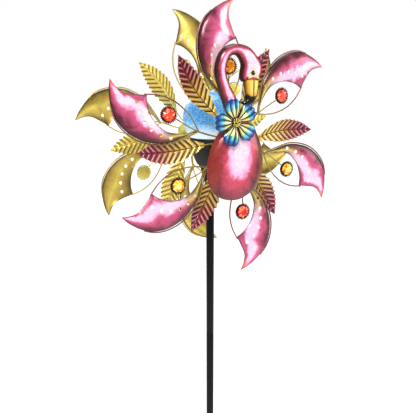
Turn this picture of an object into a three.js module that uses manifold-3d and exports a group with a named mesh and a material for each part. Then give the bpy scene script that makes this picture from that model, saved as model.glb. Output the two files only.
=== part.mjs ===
// Kinetic garden wind spinner on a stake: two contra-facing wheels of crescent blades, leaves and
// jewels, a solar crackle-glass lamp between them and a flamingo in front of the hub.
// Millimetres, +Z up. The origin is on the pole's axis at the soil, and the front faces -Y.
import * as THREE from 'three';
import { mergeVertices } from 'three/addons/utils/BufferGeometryUtils.js';
import Module from 'manifold-3d';

const wasm = await Module();
wasm.setup();

// ---- driving dimensions ----
const HUB_HEIGHT = 985; // wheel axis above the soil
const WHEEL_OFFSET = 88; // each wheel's mid-plane in front of, or behind, the pole's axis
const GAP = 0.3; // between pieces that touch

const POLE_RADIUS = 7.5;
const POLE_WALL = 1.2;
const SPIGOT_RADIUS = 6; // reduced end that enters the next tube
const SPIGOT_LENGTH = 30;

const PLATE_REACH = 62; // step plate, from the centre to the end of an arm
const PLATE_WIDTH = 24;
const PLATE_THICKNESS = 4;
const PRONG_LENGTH = 150;
const PRONG_RADIUS = 3;
const SOCKET_HEIGHT = 40;

const SWIVEL_DROP = 95; // lower end of the swivel sleeve, below the wheel axis
const SPINDLE_RADIUS = 5;
const SPINDLE_REACH = 32; // spindle above its collar

const CUP_DROP = 56; // underside of the lamp cup, below the wheel axis
const CUP_WALL = 2;
const GLOBE_RADIUS = 50;
const GLOBE_RISE = 32.6; // centre of the globe above the wheel axis
const GLOBE_WALL = 2.4;
const RIM_DROP = 2; // rim of the cup below the wheel axis
const SOLAR_RADIUS = 31;
const SWITCH_DROP = 25;
const SWITCH_RADIUS = 3.5;

const ARM_WIDTH = 16; // strips that carry the axles round the cup
const ARM_THICKNESS = 3;
const TAB_OFFSET = 61; // upright end of an arm, from the pole's axis
const AXLE_RADIUS = 4;
const THREAD_RADIUS = 3;
const AXLE_SHOULDER = 100; // end of the journal, from the pole's axis

const HUB_RADIUS = 24;
const HUB_FLANGE = 13;
const BARREL_RADIUS = 11;
const BARREL_LENGTH = 20;
const BUSH_RADIUS = 6;

const BLADE_COUNT = 6;
const BLADE_TIP = 230; // radius of a blade's tip
const BLADE_CONE = 0.045; // rearward slope of the blades, per unit of radius
const SHEET = 1.2;
const WIRE_RADIUS = 1.3;
const WIRE_STEP = 3.2; // between the layers of wires at the hub
const HOLE_RADIUS = 3.1;
const LEAF_TURN = 35; // degrees from a blade to the leaf after it
const LEAF_TIP = 170;
const LEAF_ROOT = 52;
const LEAF_HALF_WIDTH = 16; // the leaf bellies to the anticlockwise side of its root and tip
const JEWEL_RADIUS = 15.3;
const STONE_RADIUS = 11.4;

// Each blade is brazed on by hand, so it stands a few degrees off an even spacing, and leans a
// few degrees forwards or back from the hub. Each set of turns keeps its wheel in balance.
const FRONT = {
  facing: -1,
  phase: 28.8,
  bends: [1.4, -1.6, 2.2, -2.6, 2.5, -1.9],
  leans: [-2.8, 0, -2.5, 4.5, 5.5, 1.1],
};
const REAR = {
  facing: 1,
  phase: 16,
  bends: [-10.2, 2.1, -2.7, -6.0, -2.1, 1.4],
  leans: [0, 0, 0, 0, 0, 0],
};

const FIGURE_FACE = 105; // back of the flamingo, in front of the pole's axis
const SEGMENTS = 18;

// ---- materials ----
const finish = (color, metalness, roughness) =>
  new THREE.MeshStandardMaterial({ color, metalness, roughness });
const BLACK = finish(0x1c1c1e, 0.5, 0.5);
const STEEL = finish(0xa8a8a4, 0.9, 0.35);
const PINK = finish(0xd96fa0, 0.6, 0.35);
const GOLD = finish(0xc9b04a, 0.75, 0.35);
const BURGUNDY = finish(0x8b3048, 0.6, 0.4);
const AMBER = finish(0xf2a01c, 0, 0.1);
const RED = finish(0xe03a20, 0, 0.1);
const GLASS = finish(0x4fb8f5, 0, 0.15);
const SOLAR = finish(0x14203c, 0.2, 0.3);
const BOARD = finish(0x1d6b3a, 0.1, 0.6);
const CELL = finish(0x3f7f4f, 0.3, 0.5);
const NYLON = finish(0xe8e6da, 0, 0.6);
const FLAMINGO = finish(0xe04a6e, 0.5, 0.35);
const PETAL = finish(0x1f7fc4, 0.5, 0.3);

// ---- solids ----
// Keeps only the position, merges shared corners, drops empty triangles and faces them outwards.
function tidy(source) {
  const bare = new THREE.BufferGeometry();
  bare.setAttribute('position', source.attributes.position.clone());
  if (source.index) bare.setIndex(source.index.clone());
  const merged = mergeVertices(bare, 1e-4);
  const point = merged.attributes.position;
  const corners = [];
  let volume = 0;
  const a = new THREE.Vector3();
  const b = new THREE.Vector3();
  const c = new THREE.Vector3();
  for (let i = 0; i < merged.index.count; i += 3) {
    const [i0, i1, i2] = [0, 1, 2].map((k) => merged.index.getX(i + k));
    if (i0 === i1 || i1 === i2 || i2 === i0) continue;
    corners.push([i0, i1, i2]);
    a.fromBufferAttribute(point, i0);
    b.fromBufferAttribute(point, i1);
    c.fromBufferAttribute(point, i2);
    volume += a.dot(b.cross(c));
  }
  const index = corners.flatMap((t) => (volume < 0 ? [t[0], t[2], t[1]] : t));
  merged.setIndex(index);
  return merged;
}

function toManifold(geometry) {
  const clean = tidy(geometry);
  return new wasm.Manifold(
    new wasm.Mesh({
      numProp: 3,
      vertProperties: new Float32Array(clean.attributes.position.array),
      triVerts: new Uint32Array(clean.index.array),
    }),
  );
}

function fromManifold(solid) {
  const mesh = solid.getMesh();
  const geometry = new THREE.BufferGeometry();
  geometry.setAttribute('position', new THREE.BufferAttribute(new Float32Array(mesh.vertProperties), 3));
  geometry.setIndex(new THREE.BufferAttribute(new Uint32Array(mesh.triVerts), 1));
  geometry.computeVertexNormals();
  return geometry;
}

function join(first, ...others) {
  return fromManifold(others.reduce((sum, piece) => sum.add(toManifold(piece)), toManifold(first)));
}

function cut(first, ...others) {
  return fromManifold(others.reduce((sum, piece) => sum.subtract(toManifold(piece)), toManifold(first)));
}

const group = new THREE.Group();

function place(name, geometry, material, parent = group) {
  const mesh = new THREE.Mesh(tidy(geometry), material);
  mesh.geometry.computeVertexNormals();
  mesh.name = name;
  parent.add(mesh);
  return mesh;
}

// A turned piece about +Z from [radius, height] pairs.
function turned(profile, segments = SEGMENTS) {
  const points = profile.map(([radius, height]) => new THREE.Vector2(radius, height));
  return new THREE.LatheGeometry(points, segments).rotateX(Math.PI / 2);
}

// A turned piece whose axis runs forwards: heights become distances towards -Y.
function turnedForwards(profile, segments = SEGMENTS) {
  return turned(profile, segments).rotateX(Math.PI / 2);
}

function rod(radius, bottom, top, segments = SEGMENTS) {
  return turned([[0, bottom], [radius, bottom], [radius, top], [0, top]], segments);
}

function ring(outer, inner, bottom, top, segments = SEGMENTS) {
  return turned([[inner, bottom], [outer, bottom], [outer, top], [inner, top], [inner, bottom]], segments);
}

function section(radius, sides) {
  const shape = new THREE.Shape();
  for (let i = 0; i < sides; i += 1) {
    const angle = (2 * Math.PI * i) / sides;
    const method = i === 0 ? 'moveTo' : 'lineTo';
    shape[method](radius * Math.cos(angle), radius * Math.sin(angle));
  }
  return shape;
}

// A round wire along a smooth line through [x, y, z] points.
function wire(points, radius, steps, sides = 6) {
  const path = new THREE.CatmullRomCurve3(points.map((p) => new THREE.Vector3(...p)));
  return new THREE.ExtrudeGeometry(section(radius, sides), { extrudePath: path, steps, bevelEnabled: false });
}

function outline(points) {
  return new THREE.Shape(points.map(([x, y]) => new THREE.Vector2(x, y)));
}

function plate(shape, bottom, top) {
  const solid = new THREE.ExtrudeGeometry(shape, { depth: top - bottom, bevelEnabled: false });
  return solid.translate(0, 0, bottom);
}

// ---- stake ----
const PLATE_TOP = PLATE_THICKNESS;
const SWIVEL_BOTTOM = HUB_HEIGHT - SWIVEL_DROP;
const COLLAR_BOTTOM = SWIVEL_BOTTOM - GAP - 2;
const POLE_BOTTOM = PLATE_TOP + GAP;
const SECTION_LENGTH = (COLLAR_BOTTOM - GAP - POLE_BOTTOM) / 3;

function buildGroundFork() {
  const half = PLATE_WIDTH / 2;
  const cross = outline([
    [PLATE_REACH, -half], [PLATE_REACH, half], [half, half], [half, PLATE_REACH],
    [-half, PLATE_REACH], [-half, half], [-PLATE_REACH, half], [-PLATE_REACH, -half],
    [-half, -half], [-half, -PLATE_REACH], [half, -PLATE_REACH], [half, -half],
  ]);
  const prongReach = PLATE_REACH - 12;
  const prongs = [0, 1, 2, 3].map((i) => {
    const angle = (i * Math.PI) / 2;
    const prong = turned([
      [0, -PRONG_LENGTH], [PRONG_RADIUS, -PRONG_LENGTH + 14], [PRONG_RADIUS, PLATE_TOP / 2], [0, PLATE_TOP / 2],
    ], 8);
    return prong.translate(prongReach * Math.cos(angle), prongReach * Math.sin(angle), 0);
  });
  const socket = ring(POLE_RADIUS + 3, POLE_RADIUS + GAP, PLATE_TOP / 2, PLATE_TOP + SOCKET_HEIGHT);
  place('ground_fork', join(plate(cross, 0, PLATE_TOP), ...prongs, socket), BLACK);
}

function buildPole() {
  const bore = POLE_RADIUS - POLE_WALL;
  const spigotBore = SPIGOT_RADIUS - POLE_WALL;
  ['pole_lower', 'pole_middle', 'pole_upper'].forEach((name, i) => {
    const bottom = POLE_BOTTOM + i * SECTION_LENGTH;
    const top = bottom + SECTION_LENGTH - GAP;
    const tube = [[bore, bottom], [POLE_RADIUS, bottom], [POLE_RADIUS, top]];
    if (name === 'pole_upper') {
      tube.push([bore, top], [bore, bottom]);
    } else {
      const spigotTop = top + SPIGOT_LENGTH;
      tube.push([SPIGOT_RADIUS, top], [SPIGOT_RADIUS, spigotTop], [spigotBore, spigotTop]);
      tube.push([spigotBore, top - 4], [bore, top - 8], [bore, bottom]);
    }
    place(name, turned(tube, 16), BLACK);
  });
}

function buildSpindle() {
  const collarTop = COLLAR_BOTTOM + 2;
  const plug = POLE_RADIUS - POLE_WALL - GAP;
  place('swivel_spindle', turned([
    [0, COLLAR_BOTTOM - 40], [plug, COLLAR_BOTTOM - 40], [plug, COLLAR_BOTTOM],
    [POLE_RADIUS, COLLAR_BOTTOM], [POLE_RADIUS, collarTop], [SPINDLE_RADIUS, collarTop],
    [SPINDLE_RADIUS, collarTop + SPINDLE_REACH], [0, collarTop + SPINDLE_REACH + 1],
  ], 16), STEEL);
}

// ---- head: everything on the swivel, built about the wheel axis and lifted to its height ----
const head = new THREE.Group();
head.position.z = HUB_HEIGHT;
group.add(head);

// One strip from the sleeve, up round the cup, to the upright tab that holds an axle.
function axleArm(side) {
  const inner = [[4, -74], [15, -67.5], [30.6, -44.6], [40.7, -20.8], [TAB_OFFSET - 1.5, -7.4], [TAB_OFFSET - 1.5, 12]];
  const outer = [[TAB_OFFSET + 1.5, 12], [TAB_OFFSET + 1.5, -9], [43.3, -23], [33.4, -45.6], [17.5, -69.4], [4, -78]];
  const strip = plate(outline([...inner, ...outer]), -ARM_WIDTH / 2, ARM_WIDTH / 2);
  strip.rotateX(Math.PI / 2).rotateZ(Math.PI / 2);
  if (side < 0) strip.rotateZ(Math.PI);
  return strip;
}

function buildBracket() {
  const top = -CUP_DROP - GAP;
  const bore = SPINDLE_RADIUS + GAP;
  const boreTop = -SWIVEL_DROP + SPINDLE_REACH + 3;
  const sleeve = turned([
    [bore, -SWIVEL_DROP], [8.8, -SWIVEL_DROP], [12, -81], [18.5, top], [0, top],
    [0, boreTop], [bore, boreTop], [bore, -SWIVEL_DROP],
  ]);
  const axleHole = turnedForwards([
    [0, -80], [AXLE_RADIUS + GAP, -80], [AXLE_RADIUS + GAP, 80], [0, 80],
  ], 16);
  const clearance = rod(bore, -SWIVEL_DROP - 1, boreTop, SEGMENTS);
  place('head_bracket', cut(join(sleeve, axleArm(1), axleArm(-1)), axleHole, clearance), BLACK, head);
}

function buildAxle(name, side) {
  const rivet = TAB_OFFSET - ARM_THICKNESS / 2 - GAP;
  const collar = TAB_OFFSET + ARM_THICKNESS / 2 + GAP;
  const end = AXLE_SHOULDER + 9.5;
  const axle = turnedForwards([
    [0, rivet - 2], [6.5, rivet - 2], [6.5, rivet], [AXLE_RADIUS, rivet], [AXLE_RADIUS, collar],
    [7.5, collar], [7.5, collar + 6], [AXLE_RADIUS, collar + 10], [AXLE_RADIUS, AXLE_SHOULDER],
    [THREAD_RADIUS, AXLE_SHOULDER], [THREAD_RADIUS, end], [0, end],
  ], 16);
  if (side > 0) axle.rotateZ(Math.PI);
  place(name, axle, STEEL, head);
}

function hexNut(bottom, top, domed) {
  const nut = turnedForwards([[0, bottom], [5.8, bottom], [5.8, top], [0, top]], 6);
  const dome = turnedForwards([[0, top - 0.5], [5, top - 0.5], [4.2, top + 2.6], [2.2, top + 4.4], [0, top + 4.8]], 12);
  const depth = domed ? top + 0.5 : top + 1;
  const bore = turnedForwards([
    [0, bottom - 1], [THREAD_RADIUS + GAP, bottom - 1], [THREAD_RADIUS + GAP, depth], [0, depth],
  ], 12);
  return cut(domed ? join(nut, dome) : nut, bore);
}

function buildNuts() {
  const start = AXLE_SHOULDER + 2.6 + GAP;
  place('front_nut', hexNut(start, start + 5, false), STEEL, head);
  const rearStart = AXLE_SHOULDER + GAP;
  place('rear_nut', hexNut(rearStart, rearStart + 10, true).rotateZ(Math.PI), STEEL, head);
}

function buildLamp() {
  const wall = CUP_WALL;
  const floor = -CUP_DROP;
  const rim = -RIM_DROP;
  const cup = turned([
    [0, floor], [19, floor], [25, -50], [30, -39], [35, -24], [37, -8], [37, rim],
    [37 - wall, rim], [37 - wall, -8], [35 - wall, -24], [30 - wall, -38], [25 - wall, -48.6],
    [18, floor + wall], [0, floor + wall],
  ], 24);
  const switchHole = rod(SWITCH_RADIUS + GAP, 20, 45, 12).rotateY(Math.PI / 2).translate(0, 0, -SWITCH_DROP);
  place('lamp_cup', cut(cup, switchHole), BLACK, head);

  // The glass stands on the cup's rim, so its opening is where the ball meets that height.
  const seat = rim + GAP - GLOBE_RISE;
  const inside = GLOBE_RADIUS - GLOBE_WALL;
  const outerSeat = Math.asin(seat / GLOBE_RADIUS);
  const innerSeat = Math.asin(seat / inside);
  const profile = [];
  const rings = 9;
  for (let i = 0; i <= rings; i += 1) {
    const angle = outerSeat + ((Math.PI / 2 - outerSeat) * i) / rings;
    profile.push([Math.max(0, GLOBE_RADIUS * Math.cos(angle)), GLOBE_RADIUS * Math.sin(angle)]);
  }
  for (let i = rings; i >= 0; i -= 1) {
    const angle = innerSeat + ((Math.PI / 2 - innerSeat) * i) / rings;
    profile.push([Math.max(0, inside * Math.cos(angle)), inside * Math.sin(angle)]);
  }
  profile.push(profile[0]);
  const ball = turned(profile, 18);
  place('lamp_globe', ball, GLASS, head).position.z = GLOBE_RISE;

  place('solar_cell', ring(SOLAR_RADIUS, 3.4, -7, -5, 20), SOLAR, head);
  const board = rod(30, -12, -10.4, 20);
  const diode = turned([[0, -11], [2.5, -11], [2.5, 0], [1.8, 1.8], [0, 2.6]], 10);
  place('circuit_board', join(board, diode), BOARD, head);
  place('battery', rod(5.1, -15, 15, 14).rotateY(Math.PI / 2).translate(0, 0, -42), CELL, head);
  const button = turned([
    [0, 27], [SWITCH_RADIUS + 2, 27], [SWITCH_RADIUS + 2, 28.4], [SWITCH_RADIUS, 28.4],
    [SWITCH_RADIUS, 36.6], [SWITCH_RADIUS - 0.8, 37.4], [0, 37.4],
  ], 12);
  place('lamp_switch', button.rotateY(Math.PI / 2).translate(0, 0, -SWITCH_DROP), BLACK, head);
}

// ---- wheels: built facing -Y about the wheel axis; a blade's own frame has x outwards ----
// Lays a flat piece, drawn with x outwards and y anticlockwise, into the wheel: it leans back by
// the cone and stands `back` millimetres behind the wheel's mid-plane.
function intoWheel(flat, back = 0) {
  return flat.rotateY(Math.atan(BLADE_CONE)).rotateX(Math.PI / 2).translate(0, back, 0);
}

function spline(points, count) {
  return new THREE.SplineCurve(points.map((p) => new THREE.Vector2(...p))).getPoints(count);
}

function crescentShape() {
  const outside = spline([
    [64, 12], [76, 25], [102, 53], [134, 68], [163, 70], [188, 63], [208, 48], [223, 26], [BLADE_TIP, 8],
  ], 16);
  const hook = spline([[BLADE_TIP, 8], [214, 15], [201, 16], [185, 10], [168, 2]], 6).slice(1);
  const inside = spline([[168, 2], [160, 16], [144, 30], [126, 37], [108, 37.5], [84, 27], [67, 11]], 9).slice(1);
  const shape = new THREE.Shape([...outside, ...hook, ...inside]);
  const holes = [[102.6, 45], [121.4, 48.6], [139.1, 48.3], [154.6, 42.8], [168.7, 33], [179.2, 19.9]];
  holes.forEach(([x, y]) => {
    const corners = section(HOLE_RADIUS, 6).getPoints().map((p) => p.add(new THREE.Vector2(x, y)));
    shape.holes.push(new THREE.Path(corners));
  });
  return shape;
}

function bladeGeometry() {
  const flat = plate(crescentShape(), -SHEET / 2, SHEET / 2);
  const loop = wire([[170, 3.4, 0], [150, -7, 0], [125, -10.5, 0], [100, -6, 0], [80, 3, 0], [65, 13.5, 0]],
    WIRE_RADIUS, 9, 5);
  const spoke = wire([[HUB_RADIUS + GAP, 5.4, 0], [45, 10, 0], [68, 15, 0]], WIRE_RADIUS, 1, 5);
  return intoWheel(join(flat, loop, spoke));
}

function jewelGeometry() {
  const setting = turned([
    [0, -2.6], [JEWEL_RADIUS - 2, -2.6], [JEWEL_RADIUS, 0], [JEWEL_RADIUS, 1.6], [STONE_RADIUS, 1.6],
    [STONE_RADIUS * 0.62, 4.4], [0, 4.8],
  ], 14).translate(123.3, 13.6, 0);
  const stem = wire([[HUB_RADIUS + GAP, 5.4, 0], [66, 14.6, 0], [112, 13.8, 0]], WIRE_RADIUS, 3, 5);
  return intoWheel(join(setting, stem), -WIRE_STEP);
}

function leafShape() {
  const length = LEAF_TIP - LEAF_ROOT;
  const edge = (points, count) => spline(
    points.map(([along, across]) => [LEAF_ROOT + along * length, across * LEAF_HALF_WIDTH]), count);
  const low = edge([[0, -0.16], [0.22, -0.42], [0.5, -0.56], [0.78, -0.36], [1, 0.02]], 8);
  const high = edge([[1, 0.02], [0.78, 1.1], [0.5, 1.6], [0.24, 1.14], [0, 0.16]], 8).slice(1);
  return new THREE.Shape([...low, ...high]);
}

function leafGeometry() {
  const stem = wire([[HUB_RADIUS + GAP, 0, 0], [40, 0, 0], [LEAF_ROOT + 6, 0, 0]], WIRE_RADIUS, 1, 5);
  return intoWheel(join(plate(leafShape(), -SHEET / 2, SHEET / 2), stem), WIRE_STEP);
}

function hubGeometry() {
  const barrel = BARREL_LENGTH / 2;
  const flange = HUB_FLANGE / 2;
  const bore = BUSH_RADIUS + GAP;
  return turnedForwards([
    [bore, -barrel], [BARREL_RADIUS, -barrel], [BARREL_RADIUS, -flange], [HUB_RADIUS, -flange],
    [HUB_RADIUS, flange], [BARREL_RADIUS, flange], [BARREL_RADIUS, barrel], [bore, barrel], [bore, -barrel],
  ], 24);
}

function bushGeometry() {
  const half = BARREL_LENGTH / 2;
  return turnedForwards([
    [AXLE_RADIUS + GAP, -half], [BUSH_RADIUS, -half], [BUSH_RADIUS, half], [AXLE_RADIUS + GAP, half],
    [AXLE_RADIUS + GAP, -half],
  ]);
}

// Leans a blade or a jewel forwards, from the edge of the hub outwards.
function leaned(geometry, degrees) {
  const slope = Math.tan(THREE.MathUtils.degToRad(degrees));
  const point = geometry.attributes.position;
  for (let i = 0; i < point.count; i += 1) {
    point.setY(i, point.getY(i) - slope * Math.max(0, point.getX(i) - HUB_RADIUS));
  }
  return geometry;
}

function buildWheel(name, { facing, phase, bends, leans }) {
  const wheel = new THREE.Group();
  wheel.position.y = facing * WHEEL_OFFSET;
  if (facing > 0) wheel.rotation.z = Math.PI;
  head.add(wheel);
  place(`${name}_hub`, hubGeometry(), BLACK, wheel);
  place(`${name}_bush`, bushGeometry(), NYLON, wheel);
  for (let i = 0; i < BLADE_COUNT; i += 1) {
    const even = phase + (360 / BLADE_COUNT) * i;
    const turn = THREE.MathUtils.degToRad(even + bends[i]);
    const leafTurn = THREE.MathUtils.degToRad(even + LEAF_TURN);
    const blade = leaned(bladeGeometry(), leans[i]);
    const jewel = leaned(jewelGeometry(), leans[i]);
    place(`${name}_blade_${i + 1}`, blade, PINK, wheel).rotation.y = -turn;
    place(`${name}_jewel_${i + 1}`, jewel, i % 2 === 0 ? RED : AMBER, wheel).rotation.y = -turn;
    place(`${name}_leaf_${i + 1}`, leafGeometry(), BURGUNDY, wheel).rotation.y = -leafTurn;
  }
}

// ---- flamingo ----
// A thin egg-shaped dish, open at its back; `height` and `halfWidth` give the egg its outline.
function buildBody() {
  const depth = 19;
  const rim = 1.4;
  const rings = 5;
  const profile = [];
  for (let i = 0; i <= rings; i += 1) {
    const angle = (Math.PI / 2) * (i / rings);
    profile.push([Math.cos(angle), depth * Math.sin(angle)]);
  }
  for (let i = rings; i >= 0; i -= 1) {
    const angle = (Math.PI / 2) * (i / rings);
    profile.push([0.965 * Math.cos(angle), (depth - rim) * Math.sin(angle)]);
  }
  profile[rings][0] = 0;
  profile[rings + 1][0] = 0;
  profile.push(profile[0]);
  const dish = turnedForwards(profile, 22).translate(0, -FIGURE_FACE, 0);
  const point = dish.attributes.position;
  for (let i = 0; i < point.count; i += 1) {
    const along = point.getZ(i);
    point.setX(i, -5 + 4 * along + point.getX(i) * 52 * (1 - 0.18 * along));
    point.setZ(i, -28 + 70 * along);
  }
  place('flamingo_body', dish, FLAMINGO, head);
}

function buildNeck() {
  const face = -FIGURE_FACE;
  const path = [[-9, 53], [-19, 74], [-30, 94], [-36, 118], [-31, 137], [-19, 147.5], [-5, 150], [8, 146], [18, 134], [20, 118]];
  const tube = wire(path.map(([x, z]) => [x, face - 4, z]), 9.2, 16, 8);
  const skull = new THREE.SphereGeometry(1, 14, 8).scale(20, 11, 24).translate(19.5, face - 4, 119);
  const bill = plate(outline([
    [9, 106], [12, 90], [11, 78], [3.7, 68], [13, 61.5], [27, 69], [31, 78], [33, 104],
  ]), -5, 5).rotateX(Math.PI / 2).translate(0, face - 4, 0);
  const back = new THREE.BoxGeometry(200, 40, 300).translate(0, face + 20, 60);
  place('flamingo_neck', cut(join(tube, skull, bill), back), FLAMINGO, head);
}

function buildFlower() {
  const radius = 38;
  const points = [];
  const steps = 50;
  for (let i = 0; i < steps; i += 1) {
    const angle = (2 * Math.PI * i) / steps;
    const petal = Math.abs(Math.cos(2.5 * angle));
    const reach = radius * (0.3 + 0.7 * petal ** 0.42);
    points.push([reach * Math.cos(angle), reach * Math.sin(angle)]);
  }
  const blossom = plate(outline(points), 0, SHEET);
  const point = blossom.attributes.position;
  for (let i = 0; i < point.count; i += 1) {
    const reach = Math.hypot(point.getX(i), point.getY(i)) / radius;
    point.setZ(i, point.getZ(i) + 4 * reach * reach);
  }
  const centre = turned([[0, -14], [3, -14], [3, -1], [7.5, 1], [6, 5.5], [0, 8]], 12);
  const flower = join(blossom, centre).rotateX(Math.PI / 2).rotateY(THREE.MathUtils.degToRad(-38));
  place('flower', flower, PETAL, head).position.set(-17.3, -FIGURE_FACE - 22, 35.5);
}

function buildFigureBracket() {
  const strap = outline([[-12, -92], [2, -92], [7, 0], [2, 48], [-12, 48], [-7, 0]]);
  const solid = plate(strap, 0, 2.3).rotateX(Math.PI / 2).translate(0, -AXLE_SHOULDER - GAP, 0);
  const hole = turnedForwards([[0, 90], [THREAD_RADIUS + GAP, 90], [THREAD_RADIUS + GAP, 110], [0, 110]], 12);
  place('figure_bracket', cut(solid, hole), STEEL, head);
}

buildGroundFork();
buildPole();
buildSpindle();
buildBracket();
buildAxle('front_axle', -1);
buildAxle('rear_axle', 1);
buildNuts();
buildLamp();
buildWheel('front', FRONT);
buildWheel('rear', REAR);
buildBody();
buildNeck();
buildFlower();
buildFigureBracket();

export default group;
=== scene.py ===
"""Finished surfaces of a garden wind spinner on a stake, built round its packed frame.

The spinner has two wheels of painted crescents, leaves and jewels, a solar crackle lamp between
them and a flamingo in front. Outlines are in millimetres from the wheel axis or, for a blade or
a leaf, outwards from it; every piece is placed where the frame says.
"""

import math

import bmesh
import bpy
import numpy as np
from bpy.props import FloatProperty, FloatVectorProperty, IntProperty, PointerProperty
from mathutils import Matrix, Vector
from mathutils.geometry import delaunay_2d_cdt


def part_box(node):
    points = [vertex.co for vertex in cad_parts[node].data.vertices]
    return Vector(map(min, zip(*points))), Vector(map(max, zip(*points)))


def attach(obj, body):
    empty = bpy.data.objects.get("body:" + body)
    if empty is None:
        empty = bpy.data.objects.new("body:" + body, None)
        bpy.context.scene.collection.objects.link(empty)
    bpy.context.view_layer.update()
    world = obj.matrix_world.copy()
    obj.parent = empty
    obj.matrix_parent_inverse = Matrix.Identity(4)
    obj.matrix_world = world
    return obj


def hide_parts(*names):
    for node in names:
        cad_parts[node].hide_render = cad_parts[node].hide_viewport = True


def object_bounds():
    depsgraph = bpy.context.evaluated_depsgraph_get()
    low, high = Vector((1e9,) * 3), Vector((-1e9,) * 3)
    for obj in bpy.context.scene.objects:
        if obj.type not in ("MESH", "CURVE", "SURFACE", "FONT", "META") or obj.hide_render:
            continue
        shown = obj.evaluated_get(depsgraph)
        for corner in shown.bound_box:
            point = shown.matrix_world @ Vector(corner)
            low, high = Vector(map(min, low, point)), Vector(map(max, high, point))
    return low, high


bl_info = {
    "name": "Wind Spinner Builder",
    "version": (1, 0, 0),
    "blender": (4, 5, 0),
    "location": "3D View > Sidebar > Spinner",
    "description": "Builds the painted surfaces of a garden wind spinner on its frame",
    "category": "Add Mesh",
}

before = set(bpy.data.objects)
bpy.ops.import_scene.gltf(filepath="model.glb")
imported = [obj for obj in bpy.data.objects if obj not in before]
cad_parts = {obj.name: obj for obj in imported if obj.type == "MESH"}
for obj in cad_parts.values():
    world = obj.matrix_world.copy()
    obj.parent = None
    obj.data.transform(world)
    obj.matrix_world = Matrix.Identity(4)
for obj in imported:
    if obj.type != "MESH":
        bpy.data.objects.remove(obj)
CAD_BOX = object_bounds()

MM = 0.001
WHEELS = ("front", "rear")
BLADES = range(1, 7)


def middle(node):
    """The centre of a node's box in the frame, in metres."""
    low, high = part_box(node)
    return (low + high) / 2


HUB_HEIGHT = middle("front_hub").z / MM
WHEEL_OFFSET = -middle("front_hub").y / MM
HEAD = Matrix.Translation((0, 0, HUB_HEIGHT * MM))

# ---- the wheels' setting out: degrees anticlockwise seen from each wheel's own face ----
BLADE_SPACING = 60
WHEEL_PHASE = {"front": 28.8, "rear": 16}
BLADE_BENDS = {
    "front": (1.4, -1.6, 2.2, -2.6, 2.5, -1.9),
    "rear": (-10.2, 2.1, -2.7, -6.0, -2.1, 1.4),
}
BLADE_LEANS = {"front": (-2.8, 0, -2.5, 4.5, 5.5, 1.1), "rear": (0, 0, 0, 0, 0, 0)}
LEAF_TURN = 35
BLADE_CONE = 0.045
HUB_RADIUS = 24
HUB_GAP = 0.3
STEM_START = HUB_RADIUS + HUB_GAP
HUB_BEADS = 18
HUB_BEAD_CIRCLE = 21
WIRE_STEP = 3.2
WIRE_SEGMENT = 3.0
WIRE_SIDES = 10
HOLE_SIDES = 18
CROWN_WIDTH = 46
CRESCENT_MESH = 2.1
CRESCENT_EDGE = 2.0
STONE_SIDES = 8
NUT_SIDES = 6
JEWEL_STEM_RADIUS = 1.15
LEAF_STEM_RADIUS = 1.2

# ---- a blade, drawn with x outwards and y anticlockwise ----
CRESCENT_OUTSIDE = (
    (64, 12), (76, 25), (102, 53), (134, 68), (163, 70), (188, 63), (208, 48), (223, 26), (230, 8),
)
CRESCENT_HOOK = ((230, 8), (214, 15), (201, 16), (185, 10), (168, 2))
CRESCENT_INSIDE = ((168, 2), (160, 16), (144, 30), (126, 37), (108, 37.5), (84, 27), (67, 11))
PERFORATIONS = ((102.6, 45), (121.4, 48.6), (139.1, 48.3), (154.6, 42.8), (168.7, 33), (179.2, 19.9))
LOOP = ((172, 3), (150, -7), (125, -10.5), (100, -6), (80, 3), (65, 13.5))
SPOKE = ((STEM_START, 5.4), (45, 10), (68, 15))
JEWEL_CENTRE = (123.3, 13.6)
JEWEL_STEM = ((STEM_START, 5.4), (66, 14.6), (112, 13.8))

# ---- a leaf: its edges run from root to tip, both ways measured in shares of its reach and half width ----
LEAF_ROOT = 52
LEAF_TIP = 170
LEAF_BULGE = ((0, 0.16), (0.24, 1.14), (0.5, 1.6), (0.78, 1.1), (1, 0.02))
LEAF_HOLLOW = ((0, -0.16), (0.22, -0.66), (0.5, -0.95), (0.78, -0.62), (1, 0.02))
LEAF_HALF_WIDTH = 16
LEAF_FOLD = 0.4
LEAF_SHEET = 1.0

# ---- the flamingo, x to the right and z up from the wheel axis ----
FIGURE_FACE = 105
BODY_CENTRE = (-5, -28)
BODY_HALF = (52, 70)
BODY_DEPTH = 19
NECK_OUTLINE = (
    (-20, 44), (-33, 70), (-40, 92), (-45.5, 116), (-41, 138), (-29, 152.5), (-8, 158.5), (17, 153),
    (35, 134), (40.5, 120), (36, 103), (30, 99), (12, 100), (4.5, 99), (-0.6, 108), (1.5, 127), (-8, 140.5),
    (-19.5, 136), (-25.5, 117), (-19, 95), (-6, 72), (2, 46),
)
BILL_OUTLINE = ((9, 104), (20, 107), (33.5, 103), (34, 90), (30.5, 75), (21, 72), (12, 78), (9.5, 91))
HOOK_OUTLINE = ((31, 80), (29.5, 70), (21, 61.5), (12, 60), (2.5, 66), (10, 71), (12, 79), (21, 77))
HOOK_GLEAM = ((6, 66.2), (12, 66), (19, 68), (24.5, 73))
EYE_PATCH = ((18.5, 121), (13.5, 113), (11, 104), (20, 106), (31, 104), (26.5, 113), (22.5, 120))
EYE_CENTRE = (18.5, 113)
PILLOW_SHEET = 2.0
PETALS = 5
PETAL_SHEET = 1.2
FLOWER_CENTRE = (-17.3, -127, 35.5)
FLOWER_TURN = 34.5

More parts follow.
